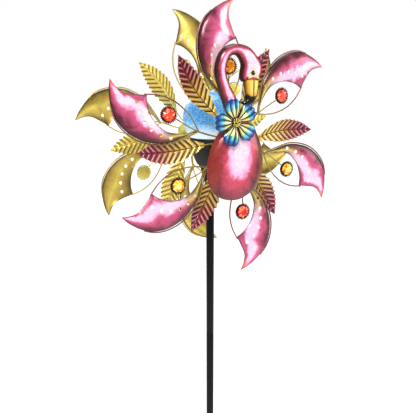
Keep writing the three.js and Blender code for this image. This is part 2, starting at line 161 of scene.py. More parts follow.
# ---- the stage: metres and degrees, the target and the lights measured from the wheel axis ----
CAMERA_AZIMUTH = -26.18
CAMERA_ELEVATION = 13.73
CAMERA_DISTANCE = 1.0432
CAMERA_LENS = 47.69
CAMERA_TARGET = (-0.0036, 0.0018, -0.133)
FLOOR_REACH = 30
LIGHTS = (
    ("key_light", (-1.2, -2.0, 1.7), 0.9, 64),
    ("fill_light", (1.9, -1.2, 0.5), 1.2, 18),
    ("top_light", (0.3, 0.2, 2.2), 1.2, 18),
    ("back_light", (0.6, 2.2, 1.0), 1.4, 30),
)


def linear(red, green, blue):
    """A colour given as 0 to 255 screen values, as the linear values that a shader takes."""
    def one(value):
        value /= 255
        return value / 12.92 if value <= 0.04045 else ((value + 0.055) / 1.055) ** 2.4
    return (one(red), one(green), one(blue))


# ---- settings that a user would change ----
def colour(name, description, *value):
    return FloatVectorProperty(
        name=name, description=description, subtype="COLOR", size=3, min=0, max=1, default=linear(*value))


def length(name, description, millimetres):
    return FloatProperty(
        name=name, description=description, subtype="DISTANCE", unit="LENGTH", min=0,
        default=millimetres * MM)


def number(name, description, value):
    return IntProperty(name=name, description=description, min=3, default=value)


class BladeSettings(bpy.types.PropertyGroup):
    """Sheet, wire and paint of the crescent blades."""

    sheet: length("Sheet", "Thickness of the pressed sheet", 1.2)
    wire: length("Wire", "Radius of the rim, loop and spoke wires", 1.25)
    hole: length("Hole", "Radius of a punched hole", 3.0)
    crown: FloatProperty(name="Crown", description="Rise of the pressing for its width", min=0, default=0.17)
    pink: colour("Pink", "Main paint", 222, 98, 140)
    # painted highlight: the pale band along the middle of each crescent
    highlight_blush: colour("Blush", "Pale paint along the middle", 255, 212, 240)
    maroon: colour("Maroon", "Shading along the edges", 108, 20, 46)
    coral: colour("Coral", "Paint at the tip", 236, 118, 116)
    gold: colour("Gold", "Bare finish at the root and on the back", 228, 200, 108)
    olive: colour("Olive", "Shading of the gold", 130, 106, 40)


class LeafSettings(bpy.types.PropertyGroup):
    """Pressing and paint of the leaves."""

    ribs: number("Ribs", "Ribs on each side of the midrib", 11)
    relief: length("Relief", "Height of a rib", 2.3)
    burgundy: colour("Burgundy", "Paint of the outer half", 176, 44, 76)
    rust: colour("Rust", "Paint where the gold meets the burgundy", 178, 88, 52)
    groove: colour("Groove", "Shading between the ribs", 62, 14, 22)


class JewelSettings(bpy.types.PropertyGroup):
    """Stones and their toothed settings."""

    radius: length("Setting", "Radius over the teeth", 15.3)
    stone: length("Stone", "Radius of the stone", 11.2)
    teeth: number("Teeth", "Teeth round a setting", 28)
    red: colour("Red", "Body of the red stones", 224, 34, 14)
    red_light: colour("Red light", "Lit facets of the red stones", 250, 104, 44)
    amber: colour("Amber", "Body of the amber stones", 240, 132, 6)
    amber_light: colour("Amber light", "Lit facets of the amber stones", 255, 200, 14)
    bronze: colour("Bronze", "Teeth of the setting", 52, 34, 26)


class LampSettings(bpy.types.PropertyGroup):
    """Solar crackle lamp."""

    glass: colour("Glass", "Body of the glass", 40, 150, 236)
    frost: colour("Frost", "Pale crackle in the glass", 170, 226, 255)
    cup: colour("Cup", "Moulded cup under the glass", 14, 14, 15)


class FigureSettings(bpy.types.PropertyGroup):
    """Paint of the flamingo and its flower."""

    # painted highlight: the pale middle of the flamingo's body and neck
    feather: colour("Feather", "Middle of the flamingo", 255, 198, 236)
    rose: colour("Rose", "Flank of the flamingo", 212, 80, 104)
    wine: colour("Wine", "Shading at the flamingo's edges", 104, 14, 34)
    beak: colour("Beak", "Yellow of the bill", 248, 190, 56)
    cream: colour("Cream", "Patch round the eye", 226, 184, 150)
    petal: colour("Petal", "Ends of the petals", 0, 88, 160)
    sky: colour("Sky", "Middle of the petals", 20, 164, 206)
    leaf_green: colour("Green", "Inner part of the petals", 186, 196, 70)


class StakeSettings(bpy.types.PropertyGroup):
    """Powder-coated steel of the stake and bracket."""

    black: colour("Black", "Powder coat", 12, 12, 13)
    steel: colour("Steel", "Plated axles and nuts", 188, 188, 184)


SETTINGS = {
    "spinner_blades": BladeSettings,
    "spinner_leaves": LeafSettings,
    "spinner_jewels": JewelSettings,
    "spinner_lamp": LampSettings,
    "spinner_figure": FigureSettings,
    "spinner_stake": StakeSettings,
}


# ---- curves and solids, in millimetres ----
def spline(points, count):
    """`count` + 1 points on a smooth line through the given ones."""
    points = np.array(points, float)
    padded = np.vstack([2 * points[0] - points[1], points, 2 * points[-1] - points[-2]])
    line = []
    for i in range(count + 1):
        at = i * (len(points) - 1) / count
        k = min(int(at), len(points) - 2)
        t = at - k
        a, b, c, d = padded[k:k + 4]
        line.append(0.5 * (2 * b + (c - a) * t + (2 * a - 5 * b + 4 * c - d) * t ** 2
                           + (3 * b - a - 3 * c + d) * t ** 3))
    return np.array(line)


def closed_spline(points, count):
    """`count` points on a smooth closed line through the given ones."""
    points = [tuple(p) for p in points]
    wrapped = points[-2:] + points + points[:3]
    line = spline(wrapped, count * (len(points) + 4) // len(points))
    share = len(line) - 1
    start = round(share * 2 / (len(points) + 4))
    end = round(share * (2 + len(points)) / (len(points) + 4))
    return line[start:end]


def evenly(line, step, closed=False):
    """The line resampled to about equal steps."""
    line = np.asarray(line, float)
    if closed:
        line = np.vstack([line, line[:1]])
    run = np.concatenate([[0], np.cumsum(np.linalg.norm(np.diff(line, axis=0), axis=1))])
    count = max(2, round(run[-1] / step))
    at = np.linspace(0, run[-1], count + 1)
    even = np.stack([np.interp(at, run, line[:, k]) for k in range(line.shape[1])], 1)
    return even[:-1] if closed else even


def distance_to(points, line):
    """Each point's distance to an open line, and how far along the line the nearest place is, 0 to 1."""
    a, b = line[:-1], line[1:]
    run = np.concatenate([[0], np.cumsum(np.linalg.norm(b - a, axis=1))])
    best = np.full(len(points), 1e9)
    share = np.zeros(len(points))
    for k in range(len(a)):
        d = b[k] - a[k]
        t = np.clip(((points - a[k]) @ d) / (d @ d), 0, 1)
        gap = np.linalg.norm(points - (a[k] + t[:, None] * d), axis=1)
        nearer = gap < best
        best = np.where(nearer, gap, best)
        share = np.where(nearer, (run[k] + t * (run[k + 1] - run[k])) / run[-1], share)
    return best, share


def inside(points, loop):
    """Which points lie inside a closed outline."""
    x, y = points[:, 0], points[:, 1]
    odd = np.zeros(len(points), bool)
    for (x1, y1), (x2, y2) in zip(loop, np.roll(loop, -1, axis=0)):
        if y1 != y2:
            odd ^= ((y1 > y) != (y2 > y)) & (x < (x2 - x1) * (y - y1) / (y2 - y1) + x1)
    return odd


class Shape:
    """Points in millimetres, faces, each face's material and each point's place in the paint pattern."""

    def __init__(self):
        self.points = np.zeros((0, 3))
        self.faces = []
        self.slots = []
        self.marks = np.zeros((0, 2))

    def add(self, points, faces, slot=0, marks=None):
        start = len(self.points)
        points = np.asarray(points, float).reshape(-1, 3)
        self.points = np.vstack([self.points, points])
        self.faces += [tuple(start + int(i) for i in face) for face in faces]
        self.slots += [slot] * len(faces) if np.isscalar(slot) else list(slot)
        marks = np.full((len(points), 2), 0.5) if marks is None else np.asarray(marks, float)
        self.marks = np.vstack([self.marks, marks])
        return self

    def join(self, other):
        return self.add(other.points, other.faces, other.slots, other.marks)

    def moved(self, change):
        """A copy with its points changed by a function of the whole array."""
        copy = Shape()
        return copy.add(change(self.points.copy()), self.faces, self.slots, self.marks)


def lathe(profile, sides=48, slot=0):
    """A closed turned shape about Z from (radius, height) pairs."""
    shape = Shape()
    angles = np.linspace(0, 2 * math.pi, sides, endpoint=False)
    points = [(r * math.cos(a), r * math.sin(a), h) for r, h in profile for a in angles]
    rings = len(profile)
    faces = []
    for i in range(rings - 1):
        for j in range(sides):
            k = (j + 1) % sides
            faces.append((i * sides + j, i * sides + k, (i + 1) * sides + k, (i + 1) * sides + j))
    return shape.add(points, faces, slot)


def soften(profile, radius):
    """The profile with its inner corners cut to small rounds."""
    profile = [np.array(p, float) for p in profile]
    out = [profile[0]]
    for before, corner, after in zip(profile, profile[1:], profile[2:]):
        back, on = before - corner, after - corner
        room = min(radius, np.linalg.norm(back) * 0.4, np.linalg.norm(on) * 0.4)
        start = corner + back / (np.linalg.norm(back) + 1e-9) * room
        end = corner + on / (np.linalg.norm(on) + 1e-9) * room
        out += [start, (start + 2 * corner + end) / 4, end]
    return [tuple(p) for p in out + [profile[-1]]]


def forwards(points):
    """Turns a shape built about Z so that its heights run towards -Y."""
    return np.stack([points[:, 0], -points[:, 2], points[:, 1]], 1)


def pressed(outline, rise, thickness, spacing, holes=(), slots=(0, 1), mark=None):
    """A sheet pressing: `rise` gives the height of its face over the plane for an array of points.

    The face gets slots[0]; the back and the cut edges get slots[1].
    """
    rings = [np.asarray(outline, float)] + [np.asarray(h, float) for h in holes]
    low, high = rings[0].min(0), rings[0].max(0)
    rows = np.arange(low[1] + spacing / 2, high[1], spacing * 0.866)
    across = np.arange(low[0], high[0], spacing)
    grid = np.array([(x + (k % 2) * spacing / 2, y) for k, y in enumerate(rows) for x in across])
    keep = inside(grid, rings[0])
    for k, ring in enumerate(rings):
        gap, _ = distance_to(grid, np.vstack([ring, ring[:1]]))
        keep &= gap > spacing * 0.55
        if k:
            keep &= ~inside(grid, ring)
    flat = np.vstack(rings + [grid[keep]])
    edges, start = [], 0
    for ring in rings:
        edges += [(start + i, start + (i + 1) % len(ring)) for i in range(len(ring))]
        start += len(ring)
    made = delaunay_2d_cdt([Vector(p) for p in flat], edges, [], 0, 1e-5)
    flat = np.array([tuple(p) for p in made[0]])
    count = len(flat)
    faces = np.array([tuple(f) for f in made[2]])
    centres = flat[faces].mean(axis=1)
    solid = inside(centres, rings[0])
    for ring in rings[1:]:
        solid &= ~inside(centres, ring)
    triangles = [tuple(f) for f in faces[solid]]
    used = {}
    for face in triangles:
        for i in range(3):
            side = (face[i], face[(i + 1) % 3])
            used.setdefault(tuple(sorted(side)), []).append(side)
    height = rise(flat)
    front = np.column_stack([flat, height])
    back = np.column_stack([flat, height - thickness])
    walls = [(b, a, a + count, b + count) for (a, b), in (v for v in used.values() if len(v) == 1)]
    faces = triangles + [tuple(i + count for i in reversed(f)) for f in triangles] + walls
    slot = [slots[0]] * len(triangles) + [slots[1]] * (len(triangles) + len(walls))
    marks = np.full((count, 2), 0.5) if mark is None else mark(flat)
    return Shape().add(np.vstack([front, back]), faces, slot, np.vstack([marks, marks]))


def slab(points, marks, rows, thickness, slots):
    """A sheet from rows of points, with a back `thickness` behind it and walls round its edge."""
    wide = len(points) // (rows + 1)
    faces = [
        (i * wide + j, (i + 1) * wide + j, (i + 1) * wide + j + 1, i * wide + j + 1)
        for i in range(rows) for j in range(wide - 1)
    ]
    front = np.array(points)
    back = front - (0, 0, thickness)
    count = len(front)
    edge = list(range(wide)) + [i * wide + wide - 1 for i in range(1, rows + 1)]
    edge += [rows * wide + j for j in range(wide - 2, -1, -1)] + [i * wide for i in range(rows - 1, 0, -1)]
    walls = [(a, b, b + count, a + count) for a, b in zip(edge, edge[1:] + edge[:1])]
    behind = [tuple(i + count for i in reversed(face)) for face in faces]
    slot = [slots[0]] * len(faces) + [slots[1]] * (len(faces) + len(walls))
    return Shape().add(np.vstack([front, back]), faces + behind + walls, slot, marks + marks)


# ---- node trees ----
class Graph:
    """A node tree that is built node by node."""

    def node(self, kind, links=None, **settings):
        """Adds a node; `links` gives a socket or a value for each of the inputs that it names."""
        node = self.tree.nodes.new(kind)
        for key, value in settings.items():
            setattr(node, key, value)
        for key, value in (links or {}).items():
            if isinstance(value, bpy.types.NodeSocket):
                self.tree.links.new(value, node.inputs[key])
            else:
                node.inputs[key].default_value = value
        return node


class Tree(Graph):
    """A geometry node tree with named inputs."""

    def __init__(self, name, inputs):
        self.tree = bpy.data.node_groups.new(name, "GeometryNodeTree")
        face = self.tree.interface
        face.new_socket("Geometry", in_out="INPUT", socket_type="NodeSocketGeometry")
        self.names = {}
        for label, kind in inputs.items():
            socket = face.new_socket(label, in_out="INPUT", socket_type="NodeSocket" + kind)
            self.names[label] = socket.identifier
        face.new_socket("Geometry", in_out="OUTPUT", socket_type="NodeSocketGeometry")
        self.input = self.tree.nodes.new("NodeGroupInput")

    def finish(self, geometry):
        """Ends the tree with real geometry in the material that the user gives."""
        real = self.node("GeometryNodeRealizeInstances", {"Geometry": geometry})
        painted = self.node("GeometryNodeSetMaterial", {
            "Geometry": real.outputs[0], "Material": self.input.outputs["Material"]})
        out = self.tree.nodes.new("NodeGroupOutput")
        self.tree.links.new(painted.outputs[0], out.inputs[0])
        return self


def wire_tree():
    """Round wire along every line of the mesh."""
    tree = Tree("spinner_wire", {"Radius": "Float", "Sides": "Int", "Step": "Float", "Material": "Material"})
    curve = tree.node("GeometryNodeMeshToCurve", {"Mesh": tree.input.outputs["Geometry"]})
    even = tree.node("GeometryNodeResampleCurve", {
        "Curve": curve.outputs[0], "Length": tree.input.outputs["Step"]}, mode="LENGTH")
    circle = tree.node("GeometryNodeCurvePrimitiveCircle", {
        "Resolution": tree.input.outputs["Sides"], "Radius": tree.input.outputs["Radius"]}, mode="RADIUS")
    tube = tree.node("GeometryNodeCurveToMesh", {
        "Curve": even.outputs[0], "Profile Curve": circle.outputs[0], "Fill Caps": True})
    return tree.finish(tube.outputs[0])


def crown_tree():
    """A ring of small rounded teeth that point outwards."""
    tree = Tree("spinner_crown", {
        "Count": "Int", "Radius": "Float", "Tooth": "Vector", "Material": "Material"})
    ring = tree.node("GeometryNodeMeshCircle", {
        "Vertices": tree.input.outputs["Count"], "Radius": tree.input.outputs["Radius"]})
    tooth = tree.node("GeometryNodeMeshUVSphere", {"Segments": 8, "Rings": 6, "Radius": 1.0})
    place = tree.node("GeometryNodeInputPosition")
    turn = tree.node("FunctionNodeAlignRotationToVector", {"Vector": place.outputs[0]}, axis="X")
    copies = tree.node("GeometryNodeInstanceOnPoints", {
        "Points": ring.outputs[0], "Instance": tooth.outputs[0], "Rotation": turn.outputs[0],
        "Scale": tree.input.outputs["Tooth"]})
    return tree.finish(copies.outputs[0])


def whorl_tree():
    """Copies of the mesh turned evenly about Z, as petals or prongs are."""
    tree = Tree("spinner_whorl", {"Count": "Int", "Material": "Material"})
    points = tree.node("GeometryNodePoints", {"Count": tree.input.outputs["Count"]})
    index = tree.node("GeometryNodeInputIndex")
    step = tree.node("ShaderNodeMath", {0: 2 * math.pi, 1: tree.input.outputs["Count"]}, operation="DIVIDE")
    angle = tree.node("ShaderNodeMath", {0: index.outputs[0], 1: step.outputs[0]}, operation="MULTIPLY")
    turn = tree.node("ShaderNodeCombineXYZ", {"Z": angle.outputs[0]})
    copies = tree.node("GeometryNodeInstanceOnPoints", {
        "Points": points.outputs[0], "Instance": tree.input.outputs["Geometry"], "Rotation": turn.outputs[0]})
    return tree.finish(copies.outputs[0])


def bead_tree():
    """Small beads scattered over the mesh's faces, from a fixed seed."""
    tree = Tree("spinner_beads", {"Bead": "Float", "Spacing": "Float", "Seed": "Int", "Material": "Material"})
    spots = tree.node("GeometryNodeDistributePointsOnFaces", {
        "Mesh": tree.input.outputs["Geometry"], "Distance Min": tree.input.outputs["Spacing"],
        "Density Max": 1e7, "Seed": tree.input.outputs["Seed"]}, distribute_method="POISSON")
    bead = tree.node("GeometryNodeMeshIcoSphere", {"Radius": tree.input.outputs["Bead"], "Subdivisions": 2})
    copies = tree.node("GeometryNodeInstanceOnPoints", {
        "Points": spots.outputs[0], "Instance": bead.outputs[0]})
    return tree.finish(copies.outputs[0])


TREES = {"wire": wire_tree, "crown": crown_tree, "whorl": whorl_tree, "beads": bead_tree}


def grown(kind, material, points, edges=(), faces=(), marks=None, **values):
    """Runs one of the trees on a small mesh, in millimetres, and returns the result as a Shape."""
    if kind not in grown.made:
        grown.made[kind] = TREES[kind]()
    tree = grown.made[kind]
    mesh = bpy.data.meshes.new(kind)
    mesh.from_pydata([tuple(np.array(p) * MM) for p in points], list(edges), [tuple(f) for f in faces])
    if marks is not None:
        write_marks(mesh, marks)
    holder = bpy.data.objects.new(kind, mesh)
    bpy.context.scene.collection.objects.link(holder)
    modifier = holder.modifiers.new(kind, "NODES")
    modifier.node_group = tree.tree
    for label, value in {**values, "Material": material}.items():
        modifier[tree.names[label]] = value
    graph = bpy.context.evaluated_depsgraph_get()
    result = bpy.data.meshes.new_from_object(holder.evaluated_get(graph))
    holder.modifiers.clear()
    bpy.data.objects.remove(holder)
    shape = Shape()
    corners = [tuple(v.co / MM) for v in result.vertices]
    kept = np.full((len(corners), 2), 0.5)
    if marks is not None:
        layer = result.uv_layers["paint"].data
        for loop in result.loops:
            kept[loop.vertex_index] = layer[loop.index].uv
    shape.add(corners, [tuple(p.vertices) for p in result.polygons], 0, kept)
    bpy.data.meshes.remove(result)
    bpy.data.meshes.remove(mesh)
    return shape


grown.made = {}


def wires(lines, radius, material, slot=0):
    """Round wires along one or more smooth lines of (x, y, z) points."""
    points, edges = [], []
    for line in lines:
        line = np.asarray(line, float)
        start = len(points)
        points += [tuple(p) for p in spline(line, (len(line) - 1) * 10)]
        edges += [(i, i + 1) for i in range(start, len(points) - 1)]
    shape = grown("wire", material, points, edges,
                  Radius=radius * MM, Sides=WIRE_SIDES, Step=WIRE_SEGMENT * MM)
    shape.slots = [slot] * len(shape.faces)
    return shape


def write_marks(mesh, marks):
    """Stores each point's place in the paint pattern as the mesh's own UV map."""
    layer = mesh.uv_layers.new(name="paint")
    corner = np.zeros(len(mesh.loops), int)
    mesh.loops.foreach_get("vertex_index", corner)
    layer.data.foreach_set("uv", np.asarray(marks, np.float32)[corner].ravel())


def make_piece(name, shape, materials, body, nodes=(), place=HEAD, crease=40):
    """Makes one object from a shape, riding on a body and standing for the nodes it replaces."""
    mesh = bpy.data.meshes.new(name)
    mesh.from_pydata([tuple(place @ (Vector(p) * MM)) for p in shape.points], [], shape.faces)
    write_marks(mesh, shape.marks)
    for material in materials:
        mesh.materials.append(material)
    mesh.polygons.foreach_set("material_index", np.array(shape.slots, np.int32))
    work = bmesh.new()
    work.from_mesh(mesh)
    bmesh.ops.remove_doubles(work, verts=work.verts, dist=2e-6)
    bmesh.ops.dissolve_degenerate(work, edges=work.edges, dist=1e-7)
    bmesh.ops.recalc_face_normals(work, faces=work.faces)
    work.to_mesh(mesh)
    work.free()
    mesh.polygons.foreach_set("use_smooth", np.ones(len(mesh.polygons), bool))
    mesh.set_sharp_from_angle(angle=math.radians(crease))
    piece = bpy.data.objects.new(name, mesh)
    bpy.context.scene.collection.objects.link(piece)
    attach(piece, body)
    if nodes:
        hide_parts(*nodes)
    return piece


# ---- materials ----
class Finish(Graph):
    """One material's node tree, with short calls for the nodes that every finish here uses."""

    def __init__(self, name, **shader):
        self.material = bpy.data.materials.new(name)
        self.material.use_nodes = True
        self.tree = self.material.node_tree
        self.shader = self.tree.nodes["Principled BSDF"]
        for key, value in shader.items():
            self.shader.inputs[key.replace("_", " ")].default_value = value
        self.place = self.node("ShaderNodeTexCoord").outputs["Object"]

    def marks(self):
        """The two values of the paint pattern at each point."""
        pattern = self.node("ShaderNodeUVMap", uv_map="paint")
        split = self.node("ShaderNodeSeparateXYZ", {0: pattern.outputs[0]})
        return split.outputs[0], split.outputs[1]

    def math(self, operation, a, b=0.0, c=0.0):
        return self.node("ShaderNodeMath", {0: a, 1: b, 2: c}, operation=operation).outputs[0]

    def step(self, value, start, end):
        """A smooth climb from 0 at start to 1 at end."""
        return self.node("ShaderNodeMapRange", {
            "Value": value, "From Min": start, "From Max": end}, interpolation_type="SMOOTHSTEP").outputs[0]

    def ramp(self, value, stops):
        node = self.node("ShaderNodeValToRGB", {"Fac": value})
        band = node.color_ramp
        while len(band.elements) < len(stops):
            band.elements.new(0.5)
        for element, (at, tone) in zip(band.elements, stops):
            element.position = at
            element.color = (*tone, 1)
        return node.outputs[0]

    def mix(self, factor, a, b, blend="MIX"):
        node = self.node("ShaderNodeMix", data_type="RGBA", blend_type=blend)
        for socket, value in ((node.inputs[0], factor), (node.inputs[6], a), (node.inputs[7], b)):
            if isinstance(value, bpy.types.NodeSocket):
                self.tree.links.new(value, socket)
            else:
                socket.default_value = (*value, 1) if isinstance(value, tuple) else value
        return node.outputs[2]

    def noise(self, scale, detail=4.0, distortion=0.0, stretch=None):
        place = self.place
        if stretch:
            place = self.node("ShaderNodeMapping", {"Vector": place, "Scale": stretch}).outputs[0]
        return self.node("ShaderNodeTexNoise", {
            "Vector": place, "Scale": scale, "Detail": detail, "Distortion": distortion}).outputs["Fac"]

    def cells(self, scale, feature="F1"):
        cells = self.node("ShaderNodeTexVoronoi", {"Vector": self.place, "Scale": scale}, feature=feature)
        return cells.outputs["Distance"]

    def wear(self, tone, share=0.3, scale=90):
        """The tone with fine cloudy light and dark patches."""
        dark = tuple(v * (1 - share) for v in (1, 1, 1))
        cloud = self.ramp(self.noise(scale, 6.0), [(0.3, dark), (0.7, (1, 1, 1))])
        return self.mix(1.0, tone, cloud, "MULTIPLY")

    def colour(self, socket):
        self.tree.links.new(socket, self.shader.inputs["Base Color"])

    def bump(self, height, distance, strength=1.0):
        node = self.node("ShaderNodeBump", {"Height": height, "Distance": distance, "Strength": strength})
        self.tree.links.new(node.outputs[0], self.shader.inputs["Normal"])

    def rough(self, value, low, high):
        spread = self.node("ShaderNodeMapRange", {"Value": value, "To Min": low, "To Max": high})
        self.tree.links.new(spread.outputs[0], self.shader.inputs["Roughness"])


def tuple3(values):
    """A colour setting as a plain tuple."""
    return tuple(values[:3])


def shade(tone, factor):
    """The tone made darker or lighter by a factor, no brighter than white."""
    return tuple(min(1.0, v * factor) for v in tone)


def gold_finish(scene):
    """Brushed gold lacquer with olive clouds, a painted highlight along the middle of a crescent's back and
    painted olive shade towards its edges.
    """
    paint = scene.spinner_blades
    gold, olive = tuple3(paint.gold), tuple3(paint.olive)
    look = Finish("gold_lacquer", Metallic=0.75, Roughness=0.36, Coat_Weight=0.25, Coat_Roughness=0.2)
    _, across = look.marks()
    # painted light: bright gold along the middle is a painted highlight, olive towards both edges painted
    # shade
    edge = look.math("ABSOLUTE", look.math("SUBTRACT", across, 0.5))
    cloud = look.math("MULTIPLY_ADD", look.noise(22, 5.0, 0.6), 0.3, -0.15)
    tone = look.ramp(look.math("ADD", edge, cloud), [
        (0.0, shade(gold, 1.5)), (0.14, shade(gold, 1.05)), (0.32, shade(gold, 0.66)),
        (0.48, shade(olive, 0.6))])
    look.colour(look.wear(tone, 0.2, 260))
    look.rough(look.noise(120), 0.28, 0.46)
    look.bump(look.noise(700, 2.0), 0.0002, 0.35)
    return look.material


def blade_finish(scene):
    """Candy paint over gold: gold root, pink blade and coral tip; the pale middle is a painted highlight and
    the maroon along the edges is airbrushed paint deepened by painted shade.
    """
    paint = scene.spinner_blades
    look = Finish("blade_paint", Metallic=0.3, Roughness=0.33, Coat_Weight=0.45, Coat_Roughness=0.14)
    along, across = look.marks()
    cloud = look.noise(38, 6.0, 0.8)
    drift = look.math("MULTIPLY_ADD", cloud, 0.64, -0.32)
    # painted light: the pale blush is a painted highlight along the middle and further out along the blade,
    # the maroon painted shade towards both edges and the root
    pink, highlight_blush, maroon = tuple3(paint.pink), tuple3(paint.highlight_blush), tuple3(paint.maroon)
    outwards = look.math("MULTIPLY_ADD", along, 0.45, -0.24)
    lit = look.math("ADD", look.math("ADD", across, drift), outwards)
    body = look.ramp(lit, [
        (0.04, shade(maroon, 0.45)), (0.17, maroon), (0.34, shade(pink, 0.66)), (0.48, pink), (0.64, highlight_blush),
        (0.88, highlight_blush), (1.0, shade(pink, 0.75))])
    # the coral tip and the gold root are shaded the same way across: painted shade at the edges, painted
    # highlight in the middle
    coral = look.step(look.math("ADD", along, look.math("MULTIPLY", drift, 0.5)), 0.88, 1.0)
    body = look.mix(coral, body, look.ramp(across, [
        (0.0, shade(maroon, 0.8)), (0.4, tuple3(paint.coral)), (0.75, shade(tuple3(paint.coral), 1.25))]))
    gold = look.step(look.math("ADD", along, look.math("MULTIPLY", drift, 0.4)), 0.42, 0.2)
    olive = tuple3(paint.olive)
    root = look.ramp(look.math("ADD", across, drift), [
        (0.05, shade(maroon, 0.5)), (0.3, shade(olive, 0.9)), (0.56, shade(tuple3(paint.gold), 1.1)),
        (0.9, shade(olive, 0.6))])
    body = look.mix(gold, body, root)
    rims = look.math("MINIMUM", look.step(across, 0.0, 0.1), look.step(across, 1.0, 0.93))
    edge = look.math("MINIMUM", rims, look.step(along, 1.0, 0.965))
    body = look.mix(edge, look.mix(0.7, body, (0.02, 0.005, 0.008)), body)
    look.colour(look.wear(body, 0.2, 240))
    look.rough(look.noise(160), 0.26, 0.42)
    look.bump(look.noise(420, 3.0), 0.0003, 0.45)
    return look.material


def wire_finish(scene):
    """Wire painted gold near the hub and pink further out."""
    paint = scene.spinner_blades
    look = Finish("wire_paint", Metallic=0.5, Roughness=0.34, Coat_Weight=0.3, Coat_Roughness=0.15)
    along, front = look.marks()
    drift = look.math("MULTIPLY_ADD", look.noise(60), 0.2, -0.1)
    gold = tuple3(paint.gold)
    tone = look.ramp(look.math("ADD", along, drift), [
        (0.4, shade(gold, 0.5)), (0.55, linear(118, 78, 56)), (0.85, linear(170, 110, 122))])
    tone = look.mix(look.step(front, 0.35, 0.65), shade(gold, 0.9), tone)
    look.colour(look.wear(tone, 0.3, 300))
    look.bump(look.noise(600), 0.0002, 0.4)
    return look.material


def leaf_finish(scene):
    """Gold at the root to burgundy at the tip, with painted shade between the ribs and a painted highlight on
    their crests.
    """
    paint = scene.spinner_leaves
    look = Finish("leaf_paint", Metallic=0.3, Roughness=0.28, Coat_Weight=0.5, Coat_Roughness=0.1)
    along, groove = look.marks()
    drift = look.math("MULTIPLY_ADD", look.noise(45), 0.24, -0.12)
    burgundy = tuple3(paint.burgundy)
    crest = look.ramp(look.math("ADD", along, drift), [
        (0.26, linear(240, 204, 92)), (0.46, linear(220, 172, 70)), (0.62, tuple3(paint.rust)),
        (0.76, burgundy), (1.0, shade(burgundy, 0.6))])
    # painted shade in the grooves between the ribs
    deep = look.ramp(along, [(0.3, (0.05, 0.022, 0.004)), (0.7, shade(tuple3(paint.groove), 0.6))])
    tone = look.mix(look.step(groove, 0.2, 0.5), deep, crest)
    # painted highlight on the tops of the ribs
    tone = look.mix(look.step(groove, 0.74, 0.92), tone, look.mix(0.5, tone, (1.0, 0.84, 0.78)))
    look.colour(look.wear(tone, 0.2, 260))
    look.bump(look.noise(500), 0.0002, 0.3)
    return look.material


def leaf_back_finish(scene):
    """Plain gold back of a leaf, with painted olive shade between the ribs and a painted highlight on them.
    """
    paint = scene.spinner_blades
    gold, olive = tuple3(paint.gold), tuple3(paint.olive)
    look = Finish("leaf_gold", Metallic=0.7, Roughness=0.34, Coat_Weight=0.25, Coat_Roughness=0.2)
    _, groove = look.marks()
    tone = look.ramp(look.math("SUBTRACT", 1.0, groove), [
        (0.04, shade(olive, 0.45)), (0.3, shade(gold, 0.8)), (0.6, gold), (0.95, shade(gold, 1.5))])
    look.colour(look.wear(tone, 0.25, 200))
    look.rough(look.noise(120), 0.28, 0.44)
    look.bump(look.noise(600), 0.0002, 0.3)
    return look.material


def stone_finish(name, body, light):
    """Cast resin stone whose facets are painted different brightnesses as painted reflections of the light
    they catch, with a faint painted glow; the pattern's first value is the facet's.
    """
    look = Finish(name, Roughness=0.14, Coat_Weight=0.35, Coat_Roughness=0.05)
    facet, inner = look.marks()
    swirl = look.math("MULTIPLY_ADD", look.noise(160, 2.0, 1.5), 0.5, -0.25)
    tone = look.ramp(look.math("ADD", facet, swirl), [
        (0.05, shade(body, 0.4)), (0.35, body), (0.7, light), (1.0, tuple(0.25 + 0.75 * v for v in light))])
    look.colour(tone)
    # painted glow: the stone's tone is also given off as a faint emission
    look.tree.links.new(tone, look.shader.inputs["Emission Color"])
    look.shader.inputs["Emission Strength"].default_value = 0.18
    look.bump(inner, 0.0001, 0.1)
    return look.material


def bezel_finish(scene):
    """Antiqued bronze, nearly black in its hollows."""
    bronze = tuple3(scene.spinner_jewels.bronze)
    look = Finish("bezel_bronze", Metallic=0.7, Roughness=0.4)
    tone = look.ramp(look.noise(220, 5.0), [
        (0.35, shade(bronze, 0.2)), (0.55, bronze), (0.75, shade(bronze, 4.0))])
    look.colour(tone)
    look.bump(look.noise(900), 0.0002, 0.5)
    return look.material


def coat_finish(scene):
    """Black powder coat with its fine orange-peel skin."""
    black = tuple3(scene.spinner_stake.black)
    look = Finish("powder_coat", Roughness=0.4, Specular_IOR_Level=0.22)
    look.colour(look.wear(look.mix(look.noise(35), shade(black, 0.6), shade(black, 1.2)), 0.25, 400))
    look.rough(look.noise(180), 0.3, 0.45)
    look.bump(look.cells(1400), 0.00015, 0.3)
    return look.material


def steel_finish(scene):
    """Zinc-plated steel with turning marks."""
    steel = tuple3(scene.spinner_stake.steel)
    look = Finish("plated_steel", Metallic=0.95, Roughness=0.28)
    look.colour(look.wear(look.mix(look.noise(60), steel, shade(steel, 0.75)), 0.25, 300))
    look.rough(look.noise(150), 0.2, 0.42)
    look.bump(look.noise(300, 3.0, 0.0, (1, 12, 1)), 0.0001, 0.4)
    return look.material


def moulded_finish(name, tone, roughness=0.42):
    """Moulded plastic with a fine grain."""
    look = Finish(name, Roughness=roughness, Specular_IOR_Level=0.5)
    look.colour(look.wear(look.mix(look.noise(50), tone, shade(tone, 1.6)), 0.2, 500))
    look.rough(look.noise(200), roughness - 0.08, roughness + 0.1)
    look.bump(look.cells(2200), 0.0001, 0.35)
    return look.material


